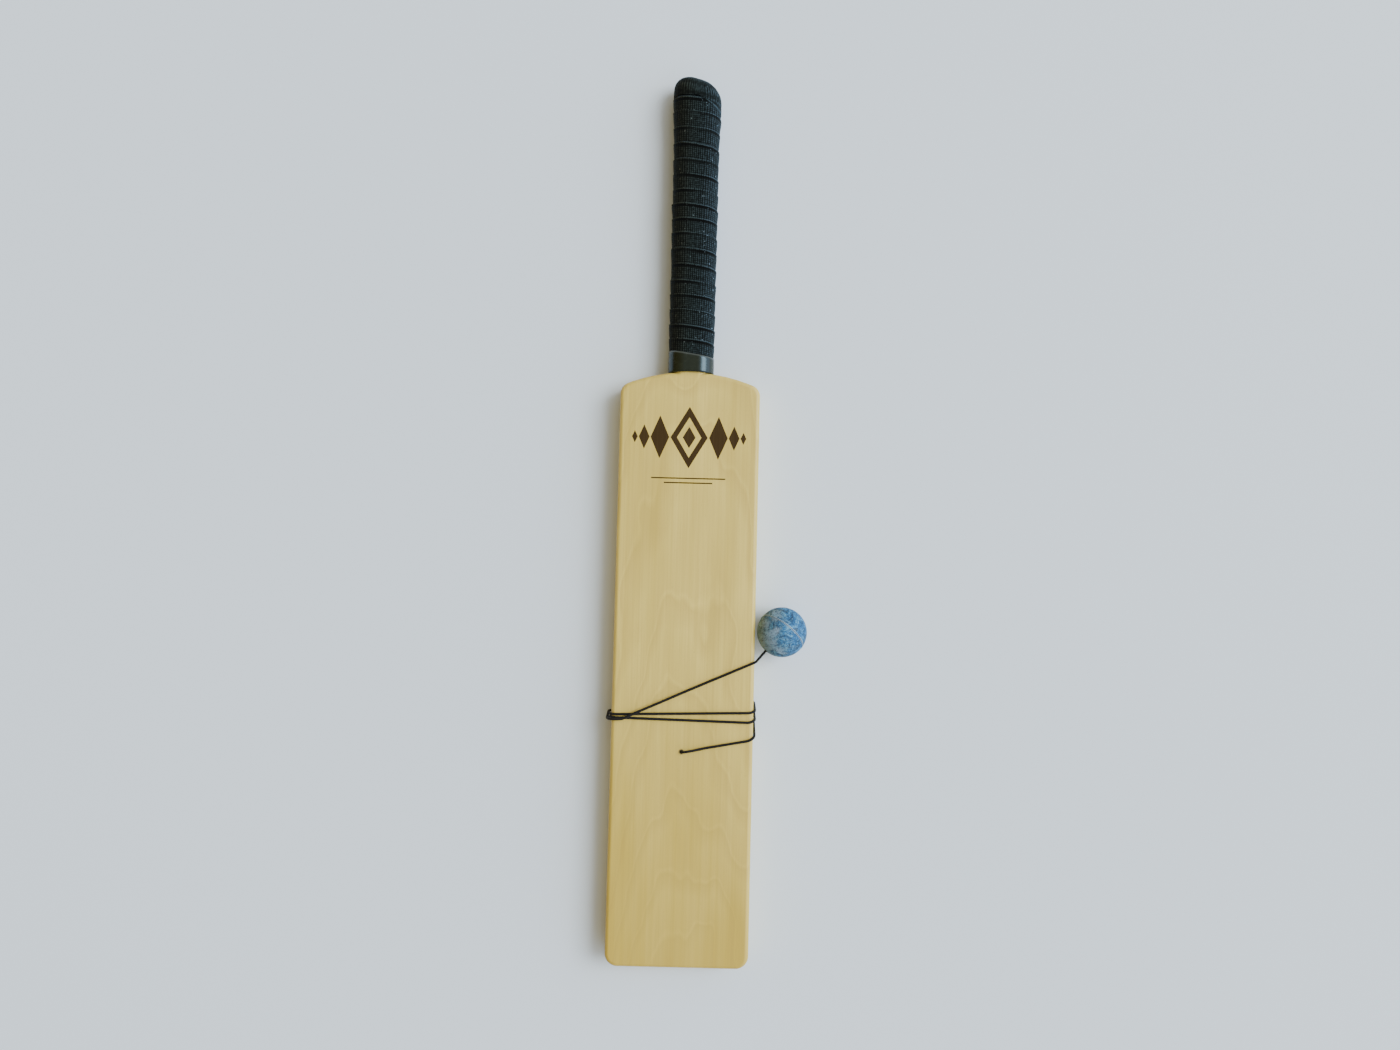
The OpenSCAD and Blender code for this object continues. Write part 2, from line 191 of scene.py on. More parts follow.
@dataclass(frozen=True, kw_only=True)
class Finish:
    """A finish of the object: what all of them share.

    The fields that end in _range say which values of a pattern, from low to high, the finish picks out,
    and what they become.
    """

    name: str
    roughness: float = 0.5
    ior: float = 1.5
    specular: float = 0.5
    specular_tint: str = "#ffffff"
    sheen: float = 0.0
    sheen_roughness: float = 0.5
    sheen_tint: str = "#ffffff"
    bump_mm: float = 0.1

    def colours(self, add: Adder, coords: Outputs) -> Painted:
        """Adds the nodes of the colour, the relief and the roughness.

        Args:
            add: Adds a node to the material.
            coords: The outputs of its Texture Coordinate node.

        Returns:
            The nodes that feed the shader.
        """
        raise NotImplementedError

    def clouds(self, add: Adder, place: bpy.types.NodeSocket, *patterns: Pattern) -> list[bpy.types.Node]:
        """Adds cloudy patterns at their real sizes.

        Args:
            add: Adds a node to the material.
            place: The coordinates that they follow.
            *patterns: The patterns.

        Returns:
            Their nodes, in the same order.
        """
        made = []
        for pattern in patterns:
            spread = add("Mapping", {"Vector": place, "Scale": [per_metre(s) for s in pattern.size_mm]})
            made.append(add("TexNoise", {"Vector": spread, "Scale": 1.0, "Detail": pattern.detail,
                                         "Roughness": pattern.roughness, "Distortion": pattern.twist}))
        return made

    def make(self) -> bpy.types.Material:
        """Returns the finish as a material."""
        material = bpy.data.materials.new(self.name)
        material.use_nodes = True
        add_here = partial(add, material.node_tree)
        painted = self.colours(add_here, add_here("TexCoord").outputs)
        shader = material.node_tree.nodes["Principled BSDF"]
        feed(shader, {"Roughness": self.roughness, "IOR": self.ior, "Specular IOR Level": self.specular,
                      "Specular Tint": self.specular_tint, "Sheen Weight": self.sheen,
                      "Sheen Roughness": self.sheen_roughness, "Sheen Tint": self.sheen_tint})
        feed(shader, {"Base Color": painted.colour})
        if painted.roughness is not None:
            feed(shader, {"Roughness": painted.roughness})
        if painted.height is not None:
            bump = add_here("Bump", {"Height": painted.height, "Distance": self.bump_mm * MM})
            feed(shader, {"Normal": bump})
        return material


@dataclass(frozen=True, kw_only=True)
class LacqueredLime(Finish):
    """Lime wood, flat sawn, sanded and wiped with a satin lacquer: pale, close grained, faintly figured.

    The season is how dark the wood is across one growth ring, from its early wood to its late wood.
    """

    name: str = "lacquered_lime_wood"
    bump_mm: float = 0.03
    tones: Stops = ((0.34, "#ebcd69"), (0.56, "#d9bc5a"), (0.86, "#c7a73f"))
    dark: str = "#b1903c"
    # The dark of the painted shade round the cord's hole.
    rim: str = "#3f301d"
    season: Stops = ((0.0, 0.5), (0.55, 0.1), (0.86, 0.9), (0.93, 0.0), (1.0, 0.5))
    ring_mm: float = 8.0
    ring_share: float = 0.36
    from_pith_mm: tuple[float, float, float] = (-6.0, 0.0, 58.0)
    tilt: float = 6.5
    wander: Pattern = Pattern((70.0, 170.0, 60.0), 3.0)
    wander_rings: float = 5.0
    grain: Pattern = Pattern((1.0, 70.0, 2.2), 5.0, 0.55)
    grain_range: tuple[float, ...] = (0.4, 0.8, 0.0, 0.35)
    fleck: Pattern = Pattern((0.45, 3.2, 0.5), 1.0, 0.55)
    fleck_range: tuple[float, ...] = (0.66, 0.76, 0.0, 0.35)
    patch: Pattern = Pattern((24.0, 120.0, 26.0), 2.0, 0.55)
    patch_share: float = 1.3
    streak: Pattern = Pattern((4.5, 260.0, 6.0), 3.0, 0.55)
    streak_share: float = 0.75
    toe_mm: float = 190.0
    toe_share: float = 0.72
    half_mm: float = 50.0
    painted_left_shade_share: float = 0.16
    depth: float = 0.45
    hole_mm: tuple[float, float, float]
    hole_shade_mm: tuple[float, float] = (1.3, 2.3)
    hole_shade_share: float = 0.9
    gloss_change: tuple[float, float] = (-0.07, 0.09)

    def colours(self, add: Adder, coords: Outputs) -> Painted:
        """Adds arched growth rings, long streaks, soft patches, a deeper toe end, flecks and painted shade.

        The board is cut a little askew of the pith, which lies behind it and sinks towards the toe, so
        that the growth rings arch on its face with their tips towards the toe.
        """
        place = coords["Object"]
        grain, fleck, patch, streak, wander = self.clouds(
            add, place, self.grain, self.fleck, self.patch, self.streak, self.wander)
        moved = add("VectorMath", (place, [s * MM for s in self.from_pith_mm]), operation="ADD")
        askew = add("VectorRotate", {"Vector": moved, "Angle": math.radians(self.tilt)},
                    rotation_type="X_AXIS")
        across = add("VectorMath", (askew, (1, 0, 1)), operation="MULTIPLY")
        radius = add("VectorMath", (across,), operation="LENGTH")
        turns = add("Math", (radius, per_metre(self.ring_mm)), operation="MULTIPLY")
        wavy = add("Math", (wander, self.wander_rings, turns), operation="MULTIPLY_ADD")
        late = add("ValToRGB", (add("Math", (wavy,), operation="FRACT"),), self.season)
        rings = add("Math", (late, self.ring_share), operation="MULTIPLY")

        sides = add("SeparateXYZ", (place,)).outputs
        toe = add("MapRange", (sides["Y"], self.toe_mm * MM, 0.0, 0.0, self.toe_share))
        # Painted shade: the wood deepens towards its left side, away from the light.
        left = add("MapRange", (sides["X"], self.half_mm * MM, -self.half_mm * MM, 0.0, self.painted_left_shade_share))
        shade = add("Math", (toe, left), operation="ADD")
        for cloud, share in ((patch, self.patch_share), (streak, self.streak_share)):
            shade = add("Math", (cloud, share, shade), operation="MULTIPLY_ADD")
        depth = add("Math", (shade, self.depth), operation="MULTIPLY")

        # Painted shade of the cord's hole: a dark ring round it.
        from_hole = add("VectorMath", (place, [s * MM for s in self.hole_mm]), operation="SUBTRACT")
        flat = add("VectorMath", (from_hole, (1, 1, 0)), operation="MULTIPLY")
        away = add("VectorMath", (flat,), operation="LENGTH")
        painted_light_mark = add("MapRange", (away, *[s * MM for s in self.hole_shade_mm], self.hole_shade_share, 0.0))

        colour = add("ValToRGB", (depth,), self.tones)
        lines = add("MapRange", (grain, *self.grain_range))
        flecks = add("MapRange", (fleck, *self.fleck_range))
        for amount, tone in ((rings, self.dark), (lines, self.dark), (flecks, self.dark), (painted_light_mark, self.rim)):
            colour = add("Mix", (amount, colour, tone), data_type="RGBA")
        rough = add("MapRange", (grain, 0.0, 1.0, *[self.roughness + s for s in self.gloss_change]))
        return Painted(colour, grain, rough)


@dataclass(frozen=True, kw_only=True)
class BurntInk(Finish):
    """Dark brown print burnt into the wood: char that is matt and dull, with the grain breaking through."""

    name: str = "burnt_brown_print"
    roughness: float = 0.75
    specular: float = 0.1
    bump_mm: float = 0.02
    tones: Stops = ((0.3, "#382812"), (0.8, "#45341b"))
    grain: Pattern = Pattern((0.8, 30.0, 2.0), 4.0)

    def colours(self, add: Adder, coords: Outputs) -> Painted:
        """Adds streaks along the grain between two browns."""
        grain, = self.clouds(add, coords["Object"], self.grain)
        return Painted(add("ValToRGB", (grain,), self.tones), grain)


@dataclass(frozen=True, kw_only=True)
class CottonTape(Finish):
    """Black cotton grip tape, plain woven: ribbed and dusty where it stands proud, with painted shade in its
    laps.

    Its fibres glow slightly at grazing angles. Painted light tints it browner on the left, away from the
    window, and bluer on the right, where the cool light falls. The shades of a lap, its painted shadow
    and painted highlight, are shares of the even cloth's brightness, from the lap's upper edge to its
    lower one.
    """

    name: str = "cotton_grip_tape"
    roughness: float = 0.9
    specular: float = 0.1
    sheen: float = 0.1
    sheen_roughness: float = 0.4
    sheen_tint: str = "#ceedff"
    bump_mm: float = 0.12
    tones: Stops = ((0.12, "#050503"), (0.5, "#1b1e1b"), (1.0, "#434a4a"))
    round_mm: float
    tape_mm: float
    rib_mm: tuple[float, float] = (1.7, 1.3)
    cord_share: float = 0.3
    weave_share: float = 0.65
    fuzz: Pattern = Pattern((1.7, 1.7, 1.7), 5.0, 0.7)
    fuzz_range: tuple[float, ...] = (0.3, 0.7)
    fuzz_share: float = 0.62
    lap_painted_light: Stops = (
        (0.0, 0.7), (0.08, 1.0), (0.7, 1.0), (0.82, 0.06), (0.91, 0.06), (0.955, 2.46), (1.0, 2.46))
    lap_gain: float = 3.0
    lap_change: Pattern = Pattern((42.0, 13.0, 42.0), 1.0, 0.7)
    lap_change_range: tuple[float, ...] = (0.36, 0.56, 0.12)
    lint: str = "#6f7474"
    lint_specks: Pattern = Pattern((1.5, 1.5, 1.5), 0.0, 0.7)
    lint_range: tuple[float, ...] = (0.79, 0.84)
    painted_light_tints: Stops = ((0.08, "#c0b392"), (0.45, "#becdca"), (0.9, "#d3eaff"))
    half_mm: float = 15.0

    def colours(self, add: Adder, coords: Outputs) -> Painted:
        """Adds the ribs of the weave on the tape's own map, with a painted highlight on each lap's selvage.

        The map's u is in turns along the tape and its v in turns across the laps. The threads are
        about half a millimetre apart, so the ribs are drawn about three times as coarse, which shows.
        """
        turns = add("SeparateXYZ", (coords["UV"],)).outputs
        ribs = []
        for turn, length, rib in zip((turns["X"], turns["Y"]), (self.round_mm, self.tape_mm), self.rib_mm):
            phase = add("Math", (turn, math.tau * length / rib), operation="MULTIPLY")
            wave = add("Math", (phase,), operation="SINE")
            ribs.append(add("MapRange", (wave, -1.0)))
        crossed = add("Math", ribs, operation="MULTIPLY")
        corded = add("Math", (ribs[0], self.cord_share), operation="MULTIPLY")
        weave = add("Math", (crossed, 1 - self.cord_share, corded), operation="MULTIPLY_ADD")
        fuzz, lint_specks, lap_change = self.clouds(
            add, coords["Object"], self.fuzz, self.lint_specks, self.lap_change)
        fuzzy = add("MapRange", (fuzz, *self.fuzz_range))
        shade = add("Math", (weave, self.weave_share), operation="MULTIPLY")
        cloth = add("Math", (fuzzy, self.fuzz_share, shade), operation="MULTIPLY_ADD")

        # A ramp holds no tone above 1, so the lap's painted shadow and highlight are divided by their gain
        # and multiplied again.
        # Painted shadow just below each lap's edge, and a painted highlight on the edge itself.
        lap = add("Math", (turns["Y"],), operation="FRACT")
        lines = add("ValToRGB", (lap,), [(at, shade / self.lap_gain) for at, shade in self.lap_painted_light])
        strength = add("MapRange", (lap_change, *self.lap_change_range))
        marked = add("Mix", (strength, linear(1 / self.lap_gain), lines), data_type="RGBA")
        gained = add("Math", (marked, self.lap_gain), operation="MULTIPLY")
        cloth_with_painted_laps = add("Math", (cloth, gained), operation="MULTIPLY")

        specks = add("MapRange", (lint_specks, *self.lint_range))
        dusty = add("Mix", (specks, add("ValToRGB", (cloth_with_painted_laps,), self.tones), self.lint), data_type="RGBA")
        # Painted light: browner on the left and bluer on the right, as the warm and the cool light fall.
        side = add("SeparateXYZ", (coords["Object"],)).outputs["X"]
        sided = add("MapRange", (side, -self.half_mm * MM, self.half_mm * MM))
        painted_light_tinted = add("Mix", (1.0, dusty, add("ValToRGB", (sided,), self.painted_light_tints)), data_type="RGBA",
                   blend_type="MULTIPLY")
        return Painted(painted_light_tinted, add("Math", (weave, fuzz), operation="ADD"))


@dataclass(frozen=True, kw_only=True)
class VinylTape(Finish):
    """Black electrical tape: PVC stretched on, with a cool gloss, faint pulls and a paler line along its
    upper edge.
    """

    name: str = "vinyl_tape"
    roughness: float = 0.2
    specular: float = 0.52
    specular_tint: str = "#ceefff"
    tones: Stops = ((0.3, "#171608"), (0.8, "#232212"))
    pulls: Pattern = Pattern((14.0, 2.4, 14.0))
    smear: Pattern = Pattern((4.0, 4.0, 4.0), 3.0)
    smear_roughness: float = 0.12
    upper_edge_pale: str = "#454640"
    upper_edge_range: tuple[float, ...] = (0.9, 0.95, 0.0, 0.85)

    def colours(self, add: Adder, coords: Outputs) -> Painted:
        """Adds pulls that run round the handle, slight smears in the gloss and a paler line along the upper
        edge.
        """
        pulls, smear = self.clouds(add, coords["Object"], self.pulls, self.smear)
        up = add("SeparateXYZ", (coords["UV"],)).outputs["Y"]
        line = add("MapRange", (up, *self.upper_edge_range))
        film = add("ValToRGB", (smear,), self.tones)
        rough = add("MapRange", (smear, 0.0, 1.0, self.roughness, self.roughness + self.smear_roughness))
        return Painted(add("Mix", (line, film, self.upper_edge_pale), data_type="RGBA"), pulls, rough)


@dataclass(frozen=True, kw_only=True)
class BraidedElastic(Finish):
    """Rubber elastic in a black braided sheath: a fine diagonal basket, nearly matt and a little fibrous."""

    name: str = "braided_elastic"
    roughness: float = 0.75
    specular: float = 0.25
    sheen: float = 0.05
    bump_mm: float = 0.06
    tones: Stops = ((0.1, "#050403"), (0.75, "#15110d"))
    braid_mm: float = 1.3
    carriers: int = 8

    def colours(self, add: Adder, coords: Outputs) -> Painted:
        """Adds two families of threads that wind round the cord opposite ways, on its own map."""
        uv = add("SeparateXYZ", (coords["UV"],)).outputs
        along = add("Math", (uv["Y"], math.tau * per_metre(self.braid_mm)), operation="MULTIPLY")
        threads = []
        for way in (1, -1):
            phase = add("Math", (uv["X"], way * math.pi * self.carriers, along), operation="MULTIPLY_ADD")
            threads.append(add("Math", (phase,), operation="SINE"))
        high = add("MapRange", (add("Math", threads, operation="MULTIPLY"), -1.0))
        return Painted(add("ValToRGB", (high,), self.tones), high)


@dataclass(frozen=True, kw_only=True)
class MarbledRubber(Finish):
    """Rubber moulded from mixed blue scraps: clouded, speckled, matt and dusty, with painted shade and light
    on its seam.
    """

    name: str = "marbled_rubber"
    roughness: float = 0.7
    specular: float = 0.3
    bump_mm: float = 0.08
    slate: str = "#1e3751"
    pale: str = "#619bb8"
    blots: Stops = ((0.42, slate), (0.46, "#225f8e"), (0.53, "#225f8e"), (0.62, pale))
    blot: Pattern = Pattern((7.0, 7.0, 7.0), 4.0, 0.65, 1.6)
    dust_and_shade_greys: Stops = ((0.68, "#52646a"), (0.86, "#99aab6"))
    cloud: Pattern = Pattern((11.0, 11.0, 11.0), 2.0, 0.65, 0.8)
    cloud_range: tuple[float, ...] = (0.5, 0.72, 0.0, 0.68)
    dust_and_shade_way: tuple[float, float, float] = (-0.93, -0.12, 0.3)
    dust_and_shade_share: float = 0.42
    speck: Pattern = Pattern((2.0, 2.0, 2.0), 4.0, 0.65, 1.8)
    speck_range: tuple[float, ...] = (0.53, 0.66, 0.0, 0.8)
    pit_range: tuple[float, ...] = (0.48, 0.37, 0.0, 0.85)
    seam_highlight: str = "#bcced7"
    seam_mm: tuple[float, float] = (0.2, 0.5)
    seam_highlight_range: tuple[float, ...] = (0.35, 0.6, 0.4, 0.9)
    centre_mm: Vector
    radius_mm: float
    mould: Vector

    def colours(self, add: Adder, coords: Outputs) -> Painted:
        """Adds clouds, blots and specks, a greyer side of dust and painted shade, and the seam's painted
        light.
        """
        place = coords["Object"]
        cloud, blot, speck = self.clouds(add, place, self.cloud, self.blot, self.speck)
        offset = add("VectorMath", (place, self.centre_mm * MM), operation="SUBTRACT")
        # Painted shade with grey dust: the rubber greys towards its left side, away from the light.
        sided = add("VectorMath", (offset, Vector(self.dust_and_shade_way) / (self.radius_mm * MM)),
                    operation="DOT_PRODUCT")
        dust_and_shade = add("Math", (sided, self.dust_and_shade_share, cloud), operation="MULTIPLY_ADD")

        # The seam's beads get a painted highlight, its strength varied by the blots, and its groove painted
        # shade.
        height = add("VectorMath", (offset, self.mould), operation="DOT_PRODUCT")
        away = add("Math", (height,), operation="ABSOLUTE")
        groove_mm, bead_mm = self.seam_mm
        painted_groove_shade = add("Math", (away, groove_mm * MM), operation="LESS_THAN")
        beyond = add("Math", (away, groove_mm * MM), operation="GREATER_THAN")
        within = add("Math", (away, bead_mm * MM), operation="LESS_THAN")
        bead = add("Math", (beyond, within), operation="MULTIPLY")
        seam_highlight_strength = add("MapRange", (blot, *self.seam_highlight_range))
        painted_light_mark = add("Math", (bead, seam_highlight_strength), operation="MULTIPLY")

        colour = add("ValToRGB", (blot,), self.blots)
        cloudy = add("MapRange", (dust_and_shade, *self.cloud_range))
        specks = add("MapRange", (speck, *self.speck_range))
        pits = add("MapRange", (speck, *self.pit_range))
        for amount, tone in ((cloudy, add("ValToRGB", (dust_and_shade,), self.dust_and_shade_greys)), (specks, self.pale),
                             (pits, self.slate), (painted_light_mark, self.seam_highlight), (painted_groove_shade, self.slate)):
            colour = add("Mix", (amount, colour, tone), data_type="RGBA")
        return Painted(colour, speck)


@dataclass(frozen=True, kw_only=True)
class PalePaper(Finish):
    """The plain pale floor of the studio: uncoated paper, quite matt."""

    name: str = "pale_paper"
    roughness: float = 0.9
    tones: Stops = ((0.2, "#e3eaf0"), (0.8, "#e6ecf2"))
    cloud: Pattern = Pattern((2000 / 3, 2000 / 3, 2000 / 3), 1.0)

    def colours(self, add: Adder, coords: Outputs) -> Painted:
        """Adds one pale tone with a trace of cloud."""
        cloud, = self.clouds(add, coords["Object"], self.cloud)
        return Painted(add("ValToRGB", (cloud,), self.tones))


def piece(bm: bmesh.types.BMesh, name: str, material: bpy.types.Material,
          crease: float = CREASE) -> bpy.types.Object:
    """Makes an object from a mesh in millimetres, smooth but for its sharp edges.

    Args:
        bm: The mesh, which is used up.
        name: The object's name.
        material: Its material.
        crease: Edges between faces that turn by more than this many degrees stay sharp.

    Returns:
        The object, at the origin.
    """
    bmesh.ops.transform(bm, matrix=Matrix.Scale(MM, 4), verts=bm.verts)
    for face in bm.faces:
        face.smooth = True
    for edge in bm.edges:
        edge.smooth = edge.calc_face_angle(0) < math.radians(crease)
    mesh = bpy.data.meshes.new(name)
    bm.to_mesh(mesh)
    bm.free()
    mesh.materials.append(material)
    made = bpy.data.objects.new(name, mesh)
    bpy.context.scene.collection.objects.link(made)
    log.info("%s: %d faces", name, len(mesh.polygons))
    return made


def outward(bm: bmesh.types.BMesh) -> None:
    """Turns the faces of a closed mesh outwards."""
    bmesh.ops.recalc_face_normals(bm, faces=bm.faces)


def thicken(bm: bmesh.types.BMesh, height: float) -> None:
    """Raises a flat mesh to a closed one of that height."""
    raised = bmesh.ops.extrude_face_region(bm, geom=bm.faces[:])["geom"]
    tops = [part for part in raised if isinstance(part, bmesh.types.BMVert)]
    bmesh.ops.translate(bm, verts=tops, vec=(0, 0, height))
    outward(bm)


def boolean(target: bpy.types.Object, tool: bmesh.types.BMesh, operation: str) -> None:
    """Joins a mesh to a piece, or cuts it away.

    Args:
        target: The piece.
        tool: The mesh, in millimetres.
        operation: UNION or DIFFERENCE.
    """
    cutter = piece(tool, f"{target.name}_tool", target.data.materials[0])
    step = target.modifiers.new("boolean", "BOOLEAN")
    step.operation, step.object, step.solver = operation, cutter, "EXACT"
    step.use_self = True
    made = bpy.data.meshes.new_from_object(target.evaluated_get(bpy.context.evaluated_depsgraph_get()))
    target.modifiers.clear()
    target.data = made
    bpy.data.objects.remove(cutter)


def wrapped_grid(columns: int, rows: int, place: Callable[[float, int], Placed]) -> bmesh.types.BMesh:
    """Bends a flat grid into a sleeve whose first and last columns meet.

    Args:
        columns: Faces round the sleeve.
        rows: Faces along it.
        place: Gives the place in millimetres and the map's (u, v) of a point, from its share of the
            way round and the number of its row.

    Returns:
        The mesh, with its map.
    """
    bm = bmesh.new()
    bmesh.ops.create_grid(bm, x_segments=columns, y_segments=rows, size=0.5)
    layer = bm.loops.layers.uv.new("tape_map")
    at = {v: place(v.co.x + 0.5, round((v.co.y + 0.5) * rows)) for v in bm.verts}
    for face in bm.faces:
        for loop in face.loops:
            loop[layer].uv = at[loop.vert][1]
    for v, (co, _) in at.items():
        v.co = co
    bmesh.ops.remove_doubles(bm, verts=bm.verts, dist=MERGE)
    bmesh.ops.dissolve_degenerate(bm, edges=bm.edges, dist=MERGE)
    return bm


def sleeve(bm: bmesh.types.BMesh, name: str, material: bpy.types.Material, wall: float) -> bpy.types.Object:
    """Gives an open sleeve its wall, inwards from its surface.

    Args:
        bm: The sleeve.
        name: The piece's name.
        material: Its material.
        wall: Thickness of the wall.

    Returns:
        The piece.
    """
    outward(bm)
    topmost = max(bm.faces, key=lambda f: f.calc_center_median().z)
    if topmost.normal.z < 0:
        bmesh.ops.reverse_faces(bm, faces=bm.faces)
    made = piece(bm, name, material, crease=CLOTH_CREASE)
    solid = made.modifiers.new("wall", "SOLIDIFY")
    solid.thickness, solid.offset = wall * MM, -1
    return made


@dataclass
class Blade:
    """The bat's flat blade with rounded edges, and the hole and pocket of its cord."""

    length: float = 418
    toe_w: float = 101
    shoulder_w: float = 98
    thickness: float = 20
    toe_corner: float = 9
    shoulder_corner: float = 8
    crown_radius: float = 120
    edge_radius: float = 3
    hole_y: float = 152
    hole_d: float = 2.4
    pocket_d: float = 7
    pocket_depth: float = 4
    crown_steps: int = 12
    corner_segments: int = 10
    edge_segments: int = 6
    hole_segments: int = 48

    @property
    def face_z(self) -> float:
        """Height of the striking face over the board's middle."""
        return self.thickness / 2

    @property
    def shoulder_y(self) -> float:
        """Distance of the shoulder corners' centres from the toe."""
        across = self.shoulder_w / 2 - self.shoulder_corner
        reach = self.crown_radius - self.shoulder_corner
        return self.length - self.crown_radius + math.sqrt(reach ** 2 - across ** 2)

    def half_width(self, y: float) -> float:
        """Returns half the blade's width at a distance from the toe."""
        taper = (self.toe_w - self.shoulder_w) / 2 / (self.shoulder_y - self.toe_corner)
        return self.toe_w / 2 - taper * (y - self.toe_corner)

    def crown_at(self, x: float) -> float:
        """Returns the height of the shoulder's crown at a distance from the middle."""
        return self.length - self.crown_radius + math.sqrt(self.crown_radius ** 2 - x ** 2)

    def outline(self) -> list[tuple[float, float]]:
        """Returns the blade's outline with sharp corners, from the toe's left corner."""
        top = self.half_width(self.crown_at(self.shoulder_w / 2))
        crown = [top * (1 - 2 * i / self.crown_steps) for i in range(self.crown_steps + 1)]
        return [(-self.half_width(0), 0), (self.half_width(0), 0)] + [(x, self.crown_at(x)) for x in crown]

    def shape(self) -> bmesh.types.BMesh:
        """Returns the blade: its outline, raised, with round corners and then round edges."""

        def upright(edge: bmesh.types.BMEdge) -> bool:
            """Tells whether an edge runs from one face of the blade to the other."""
            return abs(edge.verts[0].co.z - edge.verts[1].co.z) > self.face_z

        def cornered(edge: bmesh.types.BMEdge, toe: bool) -> bool:
            """Tells whether an upright edge is a corner of the toe, or of the shoulder."""
            co = edge.verts[0].co
            return abs(co.x) > self.shoulder_w / 2 - 1 and (co.y < self.length / 2) == toe

        bm = bmesh.new()
        bm.faces.new([bm.verts.new((x, y, -self.face_z)) for x, y in self.outline()])
        thicken(bm, self.thickness)
        crown_turn = math.asin(self.shoulder_w / 2 / self.crown_radius)
        reach = self.shoulder_corner * math.tan((math.pi / 2 - crown_turn) / 2)
        for toe, amount in ((True, self.toe_corner), (False, reach)):
            corners = [e for e in bm.edges if upright(e) and cornered(e, toe)]
            bmesh.ops.bevel(bm, geom=corners, offset=amount, affect="EDGES", segments=self.corner_segments,
                            profile=0.5, material=-1)
        rim = [e for e in bm.edges if not upright(e)]
        bmesh.ops.bevel(bm, geom=rim, offset=self.edge_radius, affect="EDGES", segments=self.edge_segments,
                        profile=0.5, material=-1)
        return bm

    def bores(self) -> list[bmesh.types.BMesh]:
        """Returns the cutters of the cord's hole and of its knot's pocket in the back."""
        made = []
        for width, middle, depth in ((self.hole_d, 0, 2 * self.thickness),
                                     (self.pocket_d, -self.face_z, 2 * self.pocket_depth)):
            bm = bmesh.new()
            bmesh.ops.create_cone(bm, cap_ends=True, segments=self.hole_segments, radius1=width / 2,
                                  radius2=width / 2, depth=depth)
            bmesh.ops.translate(bm, verts=bm.verts, vec=(0, self.hole_y, middle))
            made.append(bm)
        return made


